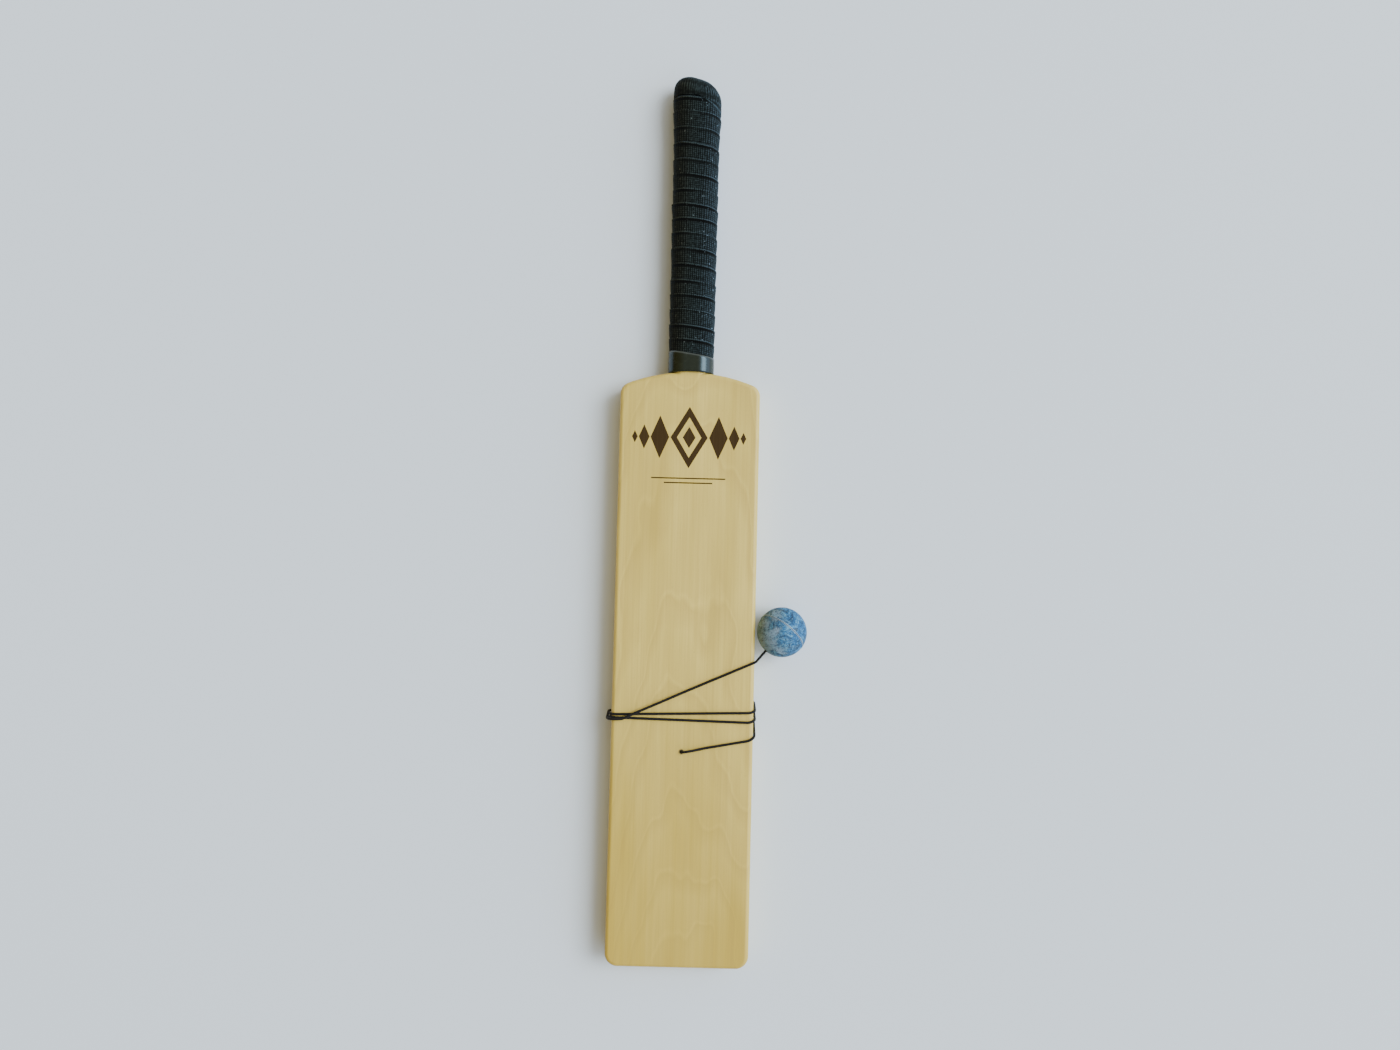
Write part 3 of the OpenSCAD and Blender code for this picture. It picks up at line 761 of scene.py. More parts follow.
@dataclass
class Handle:
    """The handle's section, its wooden core, and the places along it that its coverings share."""

    blade: Blade
    length: float = 208
    core_w: float = 28
    core_step: float = 0.3
    corner: float = 9
    butt_h: float = 16
    butt_left: float = 0.55
    butt_right: float = 1
    butt_lean: float = 0.08
    wrap: float = 2.3
    wrap_gap: float = 0.4
    ridge: float = 0.65
    flare: float = 0.8
    flare_length: float = 34
    collar_w: float = 13
    collar_slope: float = 0.15
    cover_drop: float = 4.5
    cover_rise: float = 5.5
    cover_level: float = 0.076
    cover_steep: float = 0.58
    cover_ease: float = 2
    seat: float = 0.1
    columns: int = 112
    core_columns: int = 56
    core_rows: int = 12
    core_last: float = 87

    @property
    def core_t(self) -> float:
        """Thickness of the wooden core."""
        return self.blade.thickness - 2 * self.core_step

    @property
    def cloth_t(self) -> float:
        """Thickness of the cloth's wall, which ends short of the wood."""
        return self.wrap - self.wrap_gap

    @property
    def butt_y(self) -> float:
        """Distance from the toe at which the butt starts to round."""
        return self.blade.length + self.length - self.butt_h

    @property
    def collar_y(self) -> float:
        """Distance of the middle of the collar's upper edge from the toe."""
        return self.blade.length + self.collar_w

    @property
    def cover_y(self) -> float:
        """Distance of the cover's lower edge from the toe in the part's source, at its middle."""
        return self.butt_y - self.cover_drop

    def perimeter(self, grow: float = 0) -> float:
        """Returns the length round the section, grown outwards."""
        flats = 2 * (self.core_w + self.core_t - 4 * self.corner)
        return flats + 2 * math.pi * (self.corner + grow)

    def section(self, share: float, grow: float, extra: float = 0) -> Vector:
        """Returns a point of the handle's section.

        Args:
            share: Share of the way round, from the right side over the front.
            grow: How far the section is grown outwards.
            extra: Further growth of the sides and the front alone, as the bat lies on its back.

        Returns:
            The point as (x, 0, z).
        """
        run = (share % 1) * self.perimeter()
        bend = math.pi / 2 * self.corner
        flats = [self.core_w - 2 * self.corner, self.core_t - 2 * self.corner] * 2
        for quarter, flat in enumerate(flats):
            if run <= bend + flat or quarter == 3:
                break
            run -= bend + flat
        angle = math.pi / 2 * (quarter + min(run, bend) / bend)
        across, up = (1 if quarter in (0, 3) else -1), (1 if quarter < 2 else -1)
        past = max(0.0, run - bend)
        steps = (Vector((-past, 0, 0)), Vector((0, 0, -past)), Vector((past, 0, 0)), Vector((0, 0, past)))
        middle = Vector((across * (self.core_w / 2 - self.corner), 0, up * (self.core_t / 2 - self.corner)))
        centre = middle + steps[quarter]
        way = Vector((math.cos(angle), 0, math.sin(angle)))
        inner = centre + (self.corner + grow) * way
        outer = centre + (self.corner + grow + extra) * way
        return Vector((outer.x, 0, max(inner.z, outer.z)))

    def dome(self, base: Vector, height: float, angle: float) -> Vector:
        """Returns a point of the rounded butt end.

        Args:
            base: The point of the section that it rises from.
            height: Height of the rounded end.
            angle: Angle on the way up, in degrees.

        Returns:
            The point.
        """
        turned = math.radians(angle)
        roundness = self.butt_left + (self.butt_right - self.butt_left) * smooth(0.5 + base.x / self.core_w)
        point = base * math.cos(turned) ** roundness
        y = self.butt_y + height * math.sin(turned) ** roundness - self.butt_lean * point.x
        return Vector((point.x, y, point.z))

    def grounded(self, point: Vector) -> Vector:
        """Returns a point of the cloth, raised to the ground that the bat rests on where it is lower."""
        return Vector((point.x, point.y, max(point.z, -(self.core_t / 2 + self.wrap))))

    def collar_edge(self, x: float) -> float:
        """Returns the height of the collar's upper edge at a distance from the middle."""
        return self.collar_y - self.collar_slope * x

    def cover_edge(self, x: float) -> float:
        """Returns the height of the cover's lower edge: nearly level on the left, falling on the right."""
        past = math.hypot(max(0.0, x), self.cover_ease) - self.cover_ease
        return self.cover_y + self.cover_rise - self.cover_level * x - self.cover_steep * past

    def core(self) -> bmesh.types.BMesh:
        """Returns the handle's wooden core, from inside the blade to its rounded end."""

        def place(share: float, row: int) -> Placed:
            """Places a point of the core: its low end, then the rings of its rounded end."""
            base = self.section(share, 0)
            if row == 0:
                return Vector((base.x, self.blade.shoulder_y, base.z)), (share, row)
            angle = self.core_last * (row - 1) / self.core_rows
            return self.dome(base, self.butt_h - self.wrap, angle), (share, row)

        bm = wrapped_grid(self.core_columns, self.core_rows + 1, place)
        bmesh.ops.holes_fill(bm, edges=[e for e in bm.edges if e.is_boundary], sides=0)
        outward(bm)
        return bm


@dataclass
class Motif:
    """The print on the blade's face: a row of lozenges over two rules, as a thin layer of ink.

    The lozenges beside the middle one are given by their distance from it, their width and their
    height, and the rules by their distance from the toe and their width.
    """

    blade: Blade
    y: float = 372
    ring: tuple[float, float] = (26, 43)
    ring_bare: float = 0.66
    eye: tuple[float, float] = (9, 15)
    sides: tuple[tuple[float, float, float], ...] = ((20.5, 13, 30), (31.5, 7.5, 17), (38, 4, 8.5))
    rules: tuple[tuple[float, float], ...] = ((343.4, 52), (340.2, 34))
    rule_h: float = 0.9
    rise: float = 0.03
    sink: float = 0.02

    def lozenge(self, bm: bmesh.types.BMesh, x: float, width: float, height: float, bare: float = 0) -> None:
        """Adds a lozenge.

        Args:
            bm: The print's mesh.
            x: Its distance from the middle.
            width: Its width.
            height: Its height.
            bare: The share of it that stays bare in its middle, if any.
        """
        lines = []
        for part in (1, bare) if bare else (1,):
            made = bmesh.ops.create_circle(bm, cap_ends=not bare, radius=0.5, segments=4)["verts"]
            bmesh.ops.scale(bm, vec=(width * part, height * part, 1), verts=made)
            bmesh.ops.translate(bm, vec=(x, self.y, 0), verts=made)
            lines += dict.fromkeys(e for v in made for e in v.link_edges)
        if bare:
            bmesh.ops.bridge_loops(bm, edges=lines)

    def build(self, ink: bpy.types.Material) -> bpy.types.Object:
        """Returns the print, sunk a little into the face."""
        bm = bmesh.new()
        self.lozenge(bm, 0, *self.ring, bare=self.ring_bare)
        self.lozenge(bm, 0, *self.eye)
        for side in (-1, 1):
            for x, width, height in self.sides:
                self.lozenge(bm, side * x, width, height)
        for y, width in self.rules:
            made = bmesh.ops.create_grid(bm, x_segments=1, y_segments=1, size=0.5)["verts"]
            bmesh.ops.scale(bm, vec=(width, self.rule_h, 1), verts=made)
            bmesh.ops.translate(bm, vec=(0, y, 0), verts=made)
        bmesh.ops.translate(bm, verts=bm.verts, vec=(0, 0, self.blade.face_z - self.sink))
        thicken(bm, self.sink + self.rise)
        return piece(bm, "motif", ink)


@dataclass
class Grip:
    """The cloth tape, wound down the handle with each turn lapping over the one above it.

    A lap leans and arches across the handle, wanders along it and wavers at its edge. Its edge is
    stretched down onto the cloth below by an uneven bite, and the cloth is pulled a little uneven
    all over. At the butt it tucks in under the cover's edge, in whose shadow it lies. Each row of a
    lap is a share of the way across it, and the share of the lap's step that it has risen by there.
    """

    handle: Handle
    pitch: float = 10.6
    first_turn_share: float = 1.37
    slant: float = -0.35
    arch: float = 0.65
    wander: float = 1.9
    waver: float = 0.4
    bite: float = 0.92
    bite_change: float = 1.1
    bite_least: float = 0.15
    pull: float = 0.14
    start_dip_share: float = 0.5
    end_dip: float = 0.15
    tuck: float = 0.55
    tuck_from: float = 1.7
    tuck_over: float = 1.3
    shadow: float = 0.87
    shadow_w: float = 0.9
    lap_rows: tuple[tuple[float, float], ...] = (
        (0.0, 0.0), (0.04, 0.05), (0.14, 0.2), (0.28, 0.4), (0.42, 0.56), (0.56, 0.7), (0.7, 0.82),
        (0.8, 0.88), (0.87, 0.82), (0.92, 0.84), (0.955, 1.0), (0.985, 1.02), (1.0, 0.9))

    @property
    def start(self) -> float:
        """Distance from the toe at which the first turn would start if nothing bent it."""
        return self.handle.collar_y - self.first_turn_share * self.pitch

    def lap_place(self, share: float, turn: int, lap: float, rise: float) -> tuple[float, float]:
        """Returns the height along the handle, and the thickness, of a point of a turn.

        Args:
            share: Share of the way round the handle.
            turn: Number of the turn.
            lap: Share of the way across the turn's visible width.
            rise: Share of the lap's step that the cloth has risen by there.

        Returns:
            The distance from the toe and the thickness of the cloth.
        """
        handle = self.handle
        side = handle.section(share, 0).x / (handle.core_w / 2)
        turned = turn + share
        y = self.start + self.pitch * (turned + lap) - self.slant * side - self.arch * side ** 2
        y += self.wander * ripple(turned * 0.8, 3.7, 0.4)
        y += self.waver * ripple(turned * 3.1, 8.2, turn * 0.9) * smooth(2 * lap)
        bite = self.bite + self.bite_change * ripple(turned * 0.9, 9.1, turn * 0.6)
        pull = self.pull * ripple(share * 14, turn * 3.1, lap * 1.5) * smooth(4 * lap) * smooth(4 - 4 * lap)
        return y, handle.wrap - handle.ridge + handle.ridge * max(self.bite_least, bite) * rise + pull

    def flare(self, y: float) -> float:
        """Returns the thickness that the doubled cloth adds at a distance from the toe."""
        return self.handle.flare * smooth(1 - (self.handle.cover_y - y) / self.handle.flare_length)

    def build(self, cloth: bpy.types.Material) -> bpy.types.Object:
        """Returns the wound tape."""
        handle, rows = self.handle, len(self.lap_rows)
        turns = math.ceil((handle.cover_y + 2 * handle.cover_rise - self.start) / self.pitch) + 1

        def place(share: float, row: int) -> Placed:
            """Places a point of the tape, kept between the collar's and the cover's edges."""
            wound = share if share < 1 else 0.0
            turn, step = divmod(row, rows)
            lap, rise = self.lap_rows[step]
            y, thick = self.lap_place(wound, turn + (share >= 1), lap, rise)
            x = handle.section(wound, handle.wrap).x
            low, high = handle.collar_edge(x), handle.cover_edge(x)
            if not low <= y <= high:
                y = min(max(y, low), high)
                thick = handle.wrap - (self.start_dip_share * handle.ridge if y == low else self.end_dip)
            thick -= self.tuck * smooth((y - high + self.tuck_from) / self.tuck_over)
            point = handle.section(wound, thick, self.flare(y))
            shaded = self.shadow if y > high - self.shadow_w else lap
            return handle.grounded(Vector((point.x, y, point.z))), (turn + share, turn + shaded)

        return sleeve(wrapped_grid(handle.columns, rows * turns - 1, place), "grip", cloth, handle.cloth_t)


@dataclass
class Cover:
    """The cloth cover over the butt, drawn tight and folded at its lower edge.

    Its first rows are the hem, each with its height over the edge, and its place on the finish's own
    lap, which gives the hem the lap's painted highlight. The rest of it lies past that lap, where the
    cloth is even.
    """

    handle: Handle
    skirt_rows: int = 8
    dome_rows: int = 14
    last_angle: float = 89
    hem: tuple[tuple[float, float], ...] = ((0, 0.96), (0.5, 0.985), (1.1, 1.0))
    even_from: float = 1.06
    even_over: float = 0.55
    fold: float = 0.22
    crease: float = 0.35
    crease_rows: int = 3
    snug: float = 0.15
    top_share: float = 0.9

    def build(self, cloth: bpy.types.Material) -> bpy.types.Object:
        """Returns the cover: a skirt up the handle's sides, and a dome over the rounded end."""
        handle, hem = self.handle, self.hem
        rows = self.skirt_rows + self.dome_rows

        def place(share: float, row: int) -> Placed:
            """Places a point of the cover: first up its skirt, then over the rounded end."""
            base = handle.section(share, handle.wrap, handle.flare)
            if row <= self.skirt_rows:
                low = handle.cover_edge(base.x) + handle.seat
                top = max(handle.butt_y - handle.butt_lean * base.x, low + handle.seat)
                height = (top - low) * row / self.skirt_rows
                if row < len(hem):
                    height = min(height, hem[row][0])
                point = Vector((base.x, low + height, base.z))
            else:
                angle = self.last_angle * (row - self.skirt_rows) / self.dome_rows
                point = handle.dome(base, handle.butt_h, angle)
            y = point.y
            if row < rows:
                fold = self.fold * ripple(base.x * 0.16, y * 0.22, base.z * 0.16)
                crease = self.crease * max(0.0, ripple(base.x * 0.1 + y * 0.12, y * 0.35, 5.0))
                proud = fold + crease * smooth(row / self.crease_rows) - self.snug
                point += Vector((point.x, 0, point.z)).normalized() * proud
            across = self.even_from + self.even_over * (row - len(hem)) / rows
            # The hem's rows take the lap's painted highlight.
            if row < len(hem):
                across = hem[row][1]
            return handle.grounded(point), (share, across)

        bm = wrapped_grid(handle.columns, rows, place)
        high = handle.butt_y + self.top_share * handle.butt_h
        rim = [e for e in bm.edges if e.is_boundary and all(v.co.y > high for v in e.verts)]
        bmesh.ops.contextual_create(bm, geom=rim)
        return sleeve(bm, "butt_cover", cloth, handle.cloth_t)


@dataclass
class Collar:
    """The glossy tape collar between the blade's crown and the grip, whose edges roll in by a hair."""

    handle: Handle
    thickness: float = 0.8
    rows: int = 10
    roll: float = 0.14
    uneven: float = 0.05

    def build(self, tape: bpy.types.Material) -> bpy.types.Object:
        """Returns the collar."""
        handle = self.handle
        grown = handle.wrap - handle.seat

        def place(share: float, row: int) -> Placed:
            """Places a point of the collar."""
            x, up = handle.section(share, grown).x, row / self.rows
            low = handle.blade.crown_at(x) + handle.seat
            high = handle.collar_edge(x) - handle.seat
            roll = self.roll * (1 - smooth(min(row, self.rows - row)))
            point = handle.section(share, grown - roll + self.uneven * ripple(share * 9, up * 2, 1.0))
            return Vector((point.x, low + (high - low) * up, point.z)), (share, up)

        return sleeve(wrapped_grid(handle.columns, self.rows, place), "collar", tape, self.thickness)


@dataclass
class Bat:
    """The bat: board, print on its face, wound grip, butt cover and collar."""

    blade: Blade
    handle: Handle
    grip: Grip

    def build_board(self, wood: bpy.types.Material) -> bpy.types.Object:
        """Returns the board: blade and handle core in one piece, with the cord's hole and pocket."""
        board = piece(self.blade.shape(), "board", wood)
        boolean(board, self.handle.core(), "UNION")
        for bore in self.blade.bores():
            boolean(board, bore, "DIFFERENCE")
        for polygon in board.data.polygons:
            polygon.use_smooth = True
        board.data.set_sharp_from_angle(angle=math.radians(CREASE))
        weighted = board.modifiers.new("weighted_normals", "WEIGHTED_NORMAL")
        weighted.keep_sharp = True
        return board

    def build(self, finishes: dict[str, bpy.types.Material]) -> list[bpy.types.Object]:
        """Builds and dresses all pieces of the bat.

        Args:
            finishes: The materials by name.

        Returns:
            The pieces.
        """
        cloth, handle = finishes["cloth"], self.handle
        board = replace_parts(self.build_board(finishes["wood"]), "bat_board")
        motif = Motif(self.blade).build(finishes["ink"])
        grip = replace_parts(self.grip.build(cloth), "grip_wrap")
        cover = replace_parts(Cover(handle).build(cloth), "butt_patch")
        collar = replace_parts(Collar(handle).build(finishes["tape"]),
                             "collar_tape")
        made = [board, motif, grip, cover, collar]
        for one in made:
            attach(one, Body.BAT.value)
        return made


@dataclass
class Ball:
    """The hollow rubber ball in its two bonded halves.

    Its cord leaves it along the pole, and its seam is square to the mould's own axis. Both are given
    by a heading from +X towards +Y and a rise, in degrees.
    """

    blade: Blade
    diameter: float = 35
    wall: float = 4
    seam_rise: float = 0.2
    seam_w: float = 1.4
    bead_w: float = 0.28
    bead_steps: int = 3
    valley_steps: int = 2
    along: float = 237
    side_gap: float = 1.5
    ground: float = -12
    heading: float = 229
    rise: float = 11.5
    mould_heading: float = 231.5
    mould_rise: float = 22
    hole: float = 2.0
    lip: float = 0.35
    hole_segments: int = 32
    dent: float = 0.06
    dent_scale: float = 0.35
    arc_steps: int = 40
    spin_steps: int = 128
    crease: float = 50

    @property
    def radius(self) -> float:
        """The ball's radius."""
        return self.diameter / 2

    @property
    def inner_radius(self) -> float:
        """The radius of the hollow inside."""
        return self.radius - self.wall

    @property
    def centre(self) -> Vector:
        """The ball's centre."""
        x = self.blade.half_width(self.along) + self.radius + self.side_gap
        return Vector((x, self.along, self.ground + self.radius))

    @property
    def pole(self) -> Vector:
        """The way from the ball's centre to its cord."""
        return self.way(self.heading, self.rise)

    @property
    def mould(self) -> Vector:
        """The way from the ball's centre that is square to its seam, on the cord's side."""
        return self.way(self.mould_heading, self.mould_rise)

    def way(self, heading: float, rise: float) -> Vector:
        """Returns the direction with that heading and rise."""
        turned, raised = math.radians(heading), math.radians(rise)
        flat = math.cos(raised)
        return Vector((flat * math.cos(turned), flat * math.sin(turned), math.sin(raised)))

    def settle(self, bm: bmesh.types.BMesh, way: Vector) -> None:
        """Moves a mesh that is made round +Z to the ball's centre, with +Z turned to the given way."""
        turn = way.to_track_quat("Z", "Y").to_matrix().to_4x4()
        bmesh.ops.transform(bm, matrix=Matrix.Translation(self.centre) @ turn, verts=bm.verts)

    def half(self, name: str, side: int, rubber: bpy.types.Material) -> bpy.types.Object:
        """Makes half of the ball by spinning its wall about the axis of its mould.

        Args:
            name: The piece's name.
            side: 1 for the half on the cord's side, -1 for the other.
            rubber: Its material.

        Returns:
            The piece.
        """

        def arc(radius: float, first: float, last: float, steps: int) -> list[tuple[float, float]]:
            """Returns points of an arc between two angles from the pole."""
            angles = [first + (last - first) * i / steps for i in range(steps + 1)]
            return [(radius * math.sin(a), radius * math.cos(a)) for a in angles]

        bm = bmesh.new()
        band, equator = self.seam_w / 2, math.pi / 2
        seam_angle, bead_angle = math.acos(band / self.radius), math.acos(self.bead_w / self.radius)
        outer = arc(self.radius, 0, seam_angle, self.arc_steps)
        bead_start = (2 * seam_angle + bead_angle) / 3
        bead = arc(self.radius + self.seam_rise, bead_start, bead_angle, self.bead_steps)
        valley = arc(self.radius - self.seam_rise, (bead_angle + 2 * equator) / 3, equator, self.valley_steps)
        inner = arc(self.inner_radius, equator, 0, self.arc_steps // 2)
        points = [bm.verts.new((x, 0, z)) for x, z in outer + bead + valley + inner]
        profile = [bm.edges.new(pair) for pair in zip(points, points[1:])]
        bmesh.ops.spin(bm, geom=points + profile, axis=(0, 0, 1), cent=(0, 0, 0), dvec=(0, 0, 0),
                       angle=math.tau, steps=self.spin_steps, use_merge=True, use_duplicate=False)
        bmesh.ops.remove_doubles(bm, verts=bm.verts, dist=MERGE / 2)
        for v in bm.verts:
            if v.co.length > self.radius - self.wall / 8 and abs(v.co.z) > band * 1.1:
                v.co += v.co.normalized() * self.dent * ripple(*(v.co * self.dent_scale * side))
        if side < 0:
            bmesh.ops.scale(bm, vec=(1, 1, -1), verts=bm.verts)
        self.settle(bm, self.mould)
        outward(bm)
        return piece(bm, name, rubber, crease=self.crease)

    def drill(self) -> bmesh.types.BMesh:
        """Returns the cutter of the cord's hole, with its lip rounded by wear."""
        bm = bmesh.new()
        bore, seam_highlight_strength = self.hole / 2, self.hole / 2 + 2 * self.lip
        for top, low, high in ((bore, self.inner_radius - 2 * self.wall, self.radius),
                               (seam_highlight_strength, self.radius - self.lip, self.radius + self.lip)):
            made = bmesh.ops.create_cone(bm, cap_ends=True, segments=self.hole_segments, radius1=bore,
                                         radius2=top, depth=high - low)["verts"]
            bmesh.ops.translate(bm, verts=made, vec=(0, 0, (low + high) / 2))
        self.settle(bm, self.pole)
        return bm

    def build(self, rubber: bpy.types.Material) -> list[bpy.types.Object]:
        """Builds and dresses both halves of the ball.

        Args:
            rubber: Their material.

        Returns:
            The pieces.
        """
        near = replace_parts(self.half("ball_cord_half", 1, rubber), "ball_near_half")
        boolean(near, self.drill(), "DIFFERENCE")
        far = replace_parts(self.half("ball_plain_half", -1, rubber), "ball_far_half")
        for one in (near, far):
            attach(one, Body.BALL.value)
        return [near, far]


@dataclass
class Elastic:
    """The elastic: from its knot through the hole, three and a half times round the blade, to the ball.

    The laps and the crossing are the cord's route, chosen as in the part's source: distances from the
    toe at which each lap leaves the front and the back at the right edge, and the back and the front at
    the left edge. The knot is a trefoil pulled tight, whose leading and trailing points are given from
    its middle, and whose trailing ones start at the end of its loop.
    """

    blade: Blade
    ball: Ball
    diameter: float = 1.8
    lay_gap: float = 0.2
    strand_gap: float = 0.12
    lead: float = 9
    laps: tuple[tuple[float, ...], ...] = (
        (160.9, 174.6, 171.8, 175.1), (173.6, 181.4, 174.1, 177.4), (180.4, 186, 176.6, 174.2))
    crossing: tuple[tuple[float, float], ...] = ((8, 174.4), (12.6, 176.6), (16.8, 178.8))
    landing_shares: tuple[float, ...] = (0.08, 0.18, 0.28, 0.38, 0.48, 0.75, 0.96)
    landed_share: float = 0.48
    hump_shares: tuple[float, ...] = (0.25, 0.5, 0.75, 1)
    hump_run_share: float = 9
    exit_bend_share: float = 2
    exit_straight_share: float = 1.1
    climb_wait_share: float = 0.24
    lift_start: float = 10
    bend_steps: int = 10
    ring_mm: float = 0.6
    sides: int = 14
    round_passes: int = 3
    crease: float = 80
    blend_mm: float = 4
    knot_h: float = 3.6
    knot_recess: float = 0.3
    knot_room: float = 0.6
    knot_lobe: float = 0.68
    knot_swing: float = 0.9
    knot_span: tuple[float, float] = (0.02, 0.92)
    knot_steps: int = 40
    knot_head: tuple[tuple[float, float, float], ...] = ((0, 0, 1.9), (0, -0.25, 1.2))
    knot_tail: tuple[tuple[float, float, float], ...] = ((-0.5, 0.2, -0.35), (-0.8, 0.7, -0.6))

    @property
    def lay(self) -> float:
        """Height of a strand's centreline off the board's middle."""
        return self.blade.face_z + self.lay_gap + self.diameter / 2

    @property
    def lift(self) -> float:
        """Further height of a strand that crosses over others."""
        return self.diameter + self.strand_gap

    @property
    def lead_start(self) -> Vector:
        """Where the free cord between the winding and the ball starts."""
        return self.ball.centre + (self.ball.radius + self.lead) * self.ball.pole

    @property
    def entry(self) -> Vector:
        """Where the cord enters the ball."""
        return self.ball.centre + self.ball.radius * self.ball.pole

    @property
    def shank_top(self) -> Vector:
        """Where the cord in the hole ends and the winding starts."""
        return Vector((0, self.blade.hole_y, self.blade.face_z - self.exit_straight_share * self.diameter))

    def edge_pass(self, edge: Edge, y0: float, y1: float, wait: float = 0, rise: float = 0) -> list[Vector]:
        """Returns the cord's way round one edge, from face to face.

        Args:
            edge: The edge that it goes round.
            y0: Its distance from the toe as it comes to the edge.
            y1: Its distance from the toe as it leaves the edge.
            wait: Share of the way at which it starts and stops climbing.
            rise: How far the first bend lifts it off the wood, over the strands below it.

        Returns:
            Its points.
        """
        blade, side = self.blade, edge.value
        radius = blade.edge_radius + self.lay - blade.face_z
        bend = math.pi / 2 * radius
        flat = blade.thickness - 2 * blade.edge_radius
        points = []
        for arc in (0, 1):
            for i in range(self.bend_steps + 1):
                bent = i / self.bend_steps
                turned = 90 * (arc + bent)
                angle = math.radians((90 if side > 0 else 270) - turned)
                share = (arc * (bend + flat) + bent * bend) / (2 * bend + flat)
                y = y0 + (y1 - y0) * min(1, max(0, (share - wait) / (1 - 2 * wait)))
                r = radius + rise * smooth((turned - self.lift_start) / (90 - self.lift_start))
                x = side * (blade.half_width(y) - blade.edge_radius) + r * math.cos(angle)
                z = (side if arc == 0 else -side) * (blade.face_z - blade.edge_radius) + r * math.sin(angle)
                points.append(Vector((x, y, z)))
        return points

    def climb_out(self) -> list[Vector]:
        """Returns the cord's way up out of its hole and down onto the face, towards its first lap."""
        blade, first_y = self.blade, self.laps[0][0]
        way = Vector((blade.half_width(first_y) - blade.edge_radius, first_y - blade.hole_y, 0)).normalized()
        bend = self.exit_bend_share * self.diameter
        hole, top = Vector((0, blade.hole_y, 0)), blade.face_z + bend
        points = [self.shank_top]
        for i in range(self.bend_steps + 1):
            a = math.pi / 2 * i / self.bend_steps
            height = blade.face_z + bend * math.sin(a)
            points.append(hole + way * bend * (1 - math.cos(a)) + Vector((0, 0, height)))
        for share in self.hump_shares:
            run = bend + share * self.hump_run_share * self.diameter
            height = self.lay + (top - self.lay) * (1 - smooth(share))
            points.append(hole + way * run + Vector((0, 0, height)))
        return points

    def route(self) -> list[Vector]:
        """Returns the cord's way from inside its hole, round the blade and to the ball."""
        points = self.climb_out()
        for i, (right_front, right_back, left_back, left_front) in enumerate(self.laps):
            rise = self.lift if i == len(self.laps) - 1 else 0
            points += self.edge_pass(Edge.RIGHT, right_front, right_back)
            points += self.edge_pass(Edge.LEFT, left_back, left_front, self.climb_wait_share, rise)
        points += [Vector((x - self.blade.half_width(y), y, self.lay + self.lift)) for x, y in self.crossing]
        crossed, last_bend = points[-1], self.lead_start + self.diameter * self.ball.pole
        first = self.landing_shares[0]
        for share in self.landing_shares:
            landing = crossed.lerp(last_bend, share)
            height = self.lift * (1 - smooth((share - first) / (self.landed_share - first)))
            points.append(Vector((landing.x, landing.y, self.lay + height)))
        return points + [last_bend, self.lead_start]

    def even(self, points: Sequence[Vector], step: float) -> list[Vector]:
        """Returns points at even steps along a line through the given ones."""
        made, left = [points[0].copy()], step
        for a, b in zip(points, points[1:]):
            run = (b - a).length
            while run >= left > 0:
                a = a.lerp(b, left / run)
                made.append(a.copy())
                run, left = (b - a).length, step
            left -= run
        return made + [points[-1].copy()]

    def softened(self, points: Sequence[Vector]) -> list[Vector]:
        """Returns the line with its kinks rounded as a cord rounds them, its ends kept."""
        line = [p.copy() for p in points]
        for _ in range(self.round_passes):
            line[1:-1] = [(a + b + c) / 3 for a, b, c in zip(line, line[1:], line[2:])]
        return line

    def tube(self, name: str, line: Sequence[Vector], material: bpy.types.Material, start: float = 0,
             up: Vector = Vector((0, 0, 1))) -> bpy.types.Object:
        """Sweeps the cord's round section along a line and closes its ends.

        Args:
            name: The piece's name.
            line: The centreline.
            material: The piece's material.
            start: Length of cord before the line, so that the braid runs on from piece to piece.
            up: A direction, not along the line's start, that the first ring's own frame starts from.

        Returns:
            The piece.
        """
        last = len(line) - 1
        tangents = [(line[min(i + 1, last)] - line[max(i - 1, 0)]).normalized() for i in range(last + 1)]
        side = up.cross(tangents[0]).normalized()
        frames, runs = [], [start]
        for i, tangent in enumerate(tangents):
            side = (side - tangent * side.dot(tangent)).normalized()
            frames.append((side, tangent.cross(side)))
            if i:
                runs.append(runs[-1] + (line[i] - line[i - 1]).length)

        def place(share: float, row: int) -> Placed:
            """Places a point of the cord's surface."""
            a = math.tau * (share % 1)
            across, out = frames[row]
            offset = self.diameter / 2 * (math.cos(a) * across + math.sin(a) * out)
            return line[row] + offset, (share, runs[row] * MM)

        bm = wrapped_grid(self.sides, last, place)
        bmesh.ops.holes_fill(bm, edges=[e for e in bm.edges if e.is_boundary], sides=self.sides)
        outward(bm)
        return piece(bm, name, material, crease=self.crease)

    def knot(self, name: str, middle: Vector, axis: Vector, shank: float,
             material: bpy.types.Material) -> bpy.types.Object:
        """Makes an overhand knot on the cord, pulled tight, with a short cut tail.

        Args:
            name: The piece's name.
            middle: The knot's middle.
            axis: The way from it along the cord.
            shank: Length of the straight cord above the middle.
            material: The piece's material.

        Returns:
            The piece.
        """
        lobe, (first, last) = self.knot_lobe, self.knot_span
        shares = [first + (last - first) * i / self.knot_steps for i in range(self.knot_steps + 1)]
        loop = [Vector((lobe * (math.sin(t) + 2 * math.sin(2 * t)),
                        lobe * (math.cos(t) - 2 * math.cos(2 * t)),
                        -self.knot_swing * math.sin(3 * t))) for t in (math.tau * share for share in shares)]
        head = [Vector((0, 0, shank)), *(Vector(p) for p in self.knot_head)]
        tail = [loop[-1] + Vector(p) for p in self.knot_tail]
        turn = axis.to_track_quat("Z", "Y").to_matrix()
        line = self.softened(self.even([middle + turn @ p for p in head + loop + tail], self.ring_mm / 2))
        return self.tube(name, line, material, up=Vector((1, 0, 0)))

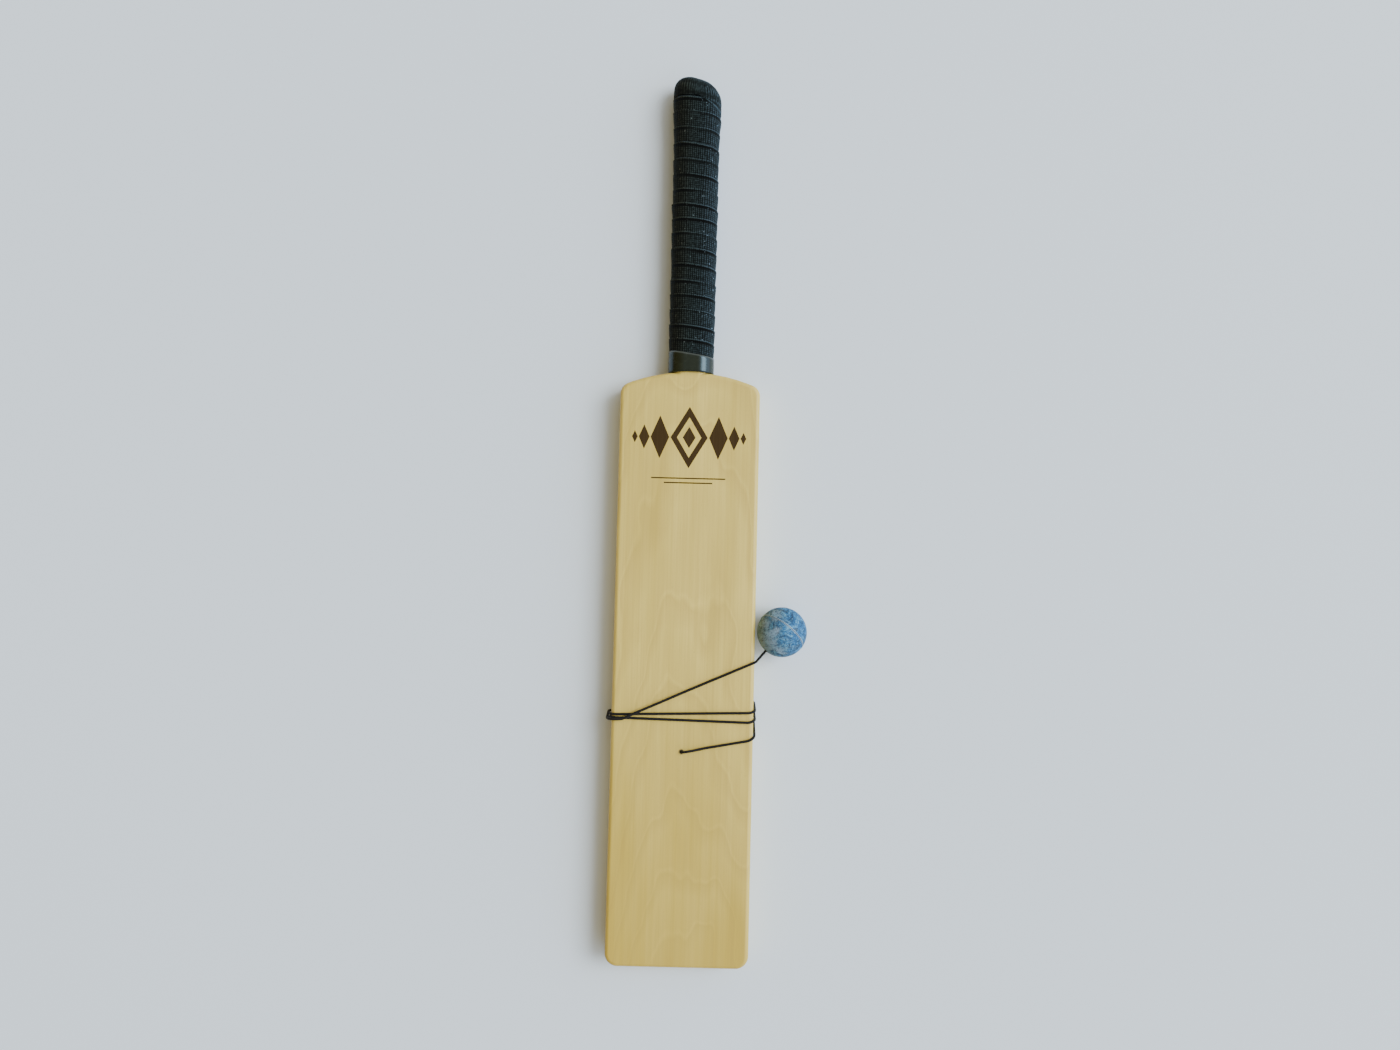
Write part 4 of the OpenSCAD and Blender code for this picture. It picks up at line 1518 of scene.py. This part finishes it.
    def build(self, sheath: bpy.types.Material) -> list[bpy.types.Object]:
        """Builds and dresses the winding, its free end and both knots.

        Args:
            sheath: The cord's material.

        Returns:
            The pieces.
        """
        ball = self.ball
        whole = self.even(self.route() + [self.entry], self.ring_mm)
        split = min(range(len(whole)), key=lambda i: (whole[i] - self.lead_start).length)
        line = self.softened(whole)
        wound = self.tube("elastic_wound", line[:split + 1], sheath, up=Vector((0, 1, 0)))
        free = self.tube("elastic_free", line[split:], sheath, start=split * self.ring_mm)
        pocket = -self.blade.face_z + self.knot_recess + self.knot_h / 2
        stopper = self.knot("stopper_overhand", Vector((0, self.blade.hole_y, pocket)), Vector((0, 0, 1)),
                            self.shank_top.z - pocket, sheath)
        inside = ball.inner_radius - self.knot_h / 2 - self.knot_room
        held = self.knot("ball_overhand", ball.centre + inside * ball.pole, ball.pole,
                         ball.radius - inside, sheath)
        for one, node in ((wound, "elastic_winding"), (free, "elastic_lead"), (stopper, "stopper_knot"),
                          (held, "ball_knot")):
            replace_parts(one, node)
        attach(stopper, Body.BAT.value)
        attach(held, Body.TETHER_END.value)
        (self.lead_start + self.blend_mm * ball.pole) * MM
        self.lead_start * MM
        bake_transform(wound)
        self.lead_start * MM
        self.entry * MM
        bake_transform(free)
        length = sum((b - a).length for a, b in zip(line[:split + 1], line[1:split + 1]))
        log.info("elastic: %.0f mm wound, %.0f mm free", length, self.lead)
        [p * MM for p in line[:split + 1]]
        return [wound, free, stopper, held]


@dataclass
class Studio:
    """Camera, floor and soft light. The camera looks straight down on the bat, as in the photograph."""

    target: tuple[float, float] = (9.1, 311)
    height: float = 780
    lens: float = 28.29
    sensor_w: float = 36
    lean: float = 1.43
    ground: float = -12
    floor_half: float = 4000
    sky: float = 3.1
    sky_tones: Stops = ((0.0, "#594b29"), (0.5, "#726d5c"), (1.0, "#d7e8ff"))
    window: str = "#ebf6ff"
    window_place: tuple[float, float, float] = (8500, 3000, 9800)
    window_aim: tuple[float, float, float] = (0, 330, 0)
    window_size: float = 7200
    window_watts: float = 1893

    def build(self) -> None:
        """Makes the camera, the floor, the soft sky and the window's light."""
        scene = bpy.context.scene
        camera = bpy.data.objects.new("camera", bpy.data.cameras.new("camera"))
        camera.location = Vector((*self.target, self.height)) * MM
        camera.rotation_euler = (0, 0, math.radians(self.lean))
        camera.data.lens, camera.data.sensor_width = self.lens, self.sensor_w
        scene.collection.objects.link(camera)
        scene.camera = camera
        bm = bmesh.new()
        bmesh.ops.create_grid(bm, x_segments=1, y_segments=1, size=self.floor_half)
        bmesh.ops.translate(bm, verts=bm.verts, vec=(0, 0, self.ground))
        piece(bm, "floor", PalePaper().make())
        self.build_sky()
        self.build_window()

    def build_sky(self) -> None:
        """Makes the soft sky, warm on the left and cool on the right."""
        world = bpy.data.worlds.new("studio")
        world.use_nodes = True
        add_here = partial(add, world.node_tree)
        way = add_here("SeparateXYZ", (add_here("TexCoord").outputs["Generated"],)).outputs
        tones = add_here("ValToRGB", (add_here("MapRange", (way["X"], -1.0)),), self.sky_tones)
        feed(world.node_tree.nodes["Background"], {"Color": tones, "Strength": self.sky})
        bpy.context.scene.world = world

    def build_window(self) -> None:
        """Makes the large soft lamp that stands for a window."""
        light = bpy.data.lights.new("window", "AREA")
        light.size, light.energy = self.window_size * MM, self.window_watts
        light.color = linear(self.window)[:3]
        lamp = bpy.data.objects.new("window", light)
        place = Vector(self.window_place)
        lamp.location = place * MM
        lamp.rotation_euler = (Vector(self.window_aim) - place).to_track_quat("-Z", "Y").to_euler()
        bpy.context.scene.collection.objects.link(lamp)


def main() -> None:
    """Builds the object around the frame."""
    logging.basicConfig(level=logging.INFO, format="%(name)s: %(message)s")
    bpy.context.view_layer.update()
    Studio().build()
    blade = Blade()
    handle = Handle(blade)
    grip = Grip(handle)
    ball = Ball(blade)
    Elastic(blade, ball).build(BraidedElastic().make())
    Bat(blade, handle, grip).build({
        "wood": LacqueredLime(hole_mm=(0, blade.hole_y, 0)).make(),
        "ink": BurntInk().make(),
        "cloth": CottonTape(round_mm=handle.perimeter(handle.wrap), tape_mm=grip.pitch).make(),
        "tape": VinylTape().make(),
    })
    ball.build(MarbledRubber(centre_mm=ball.centre, radius_mm=ball.radius, mould=ball.mould).make())


if __name__ == "__main__":
    main()
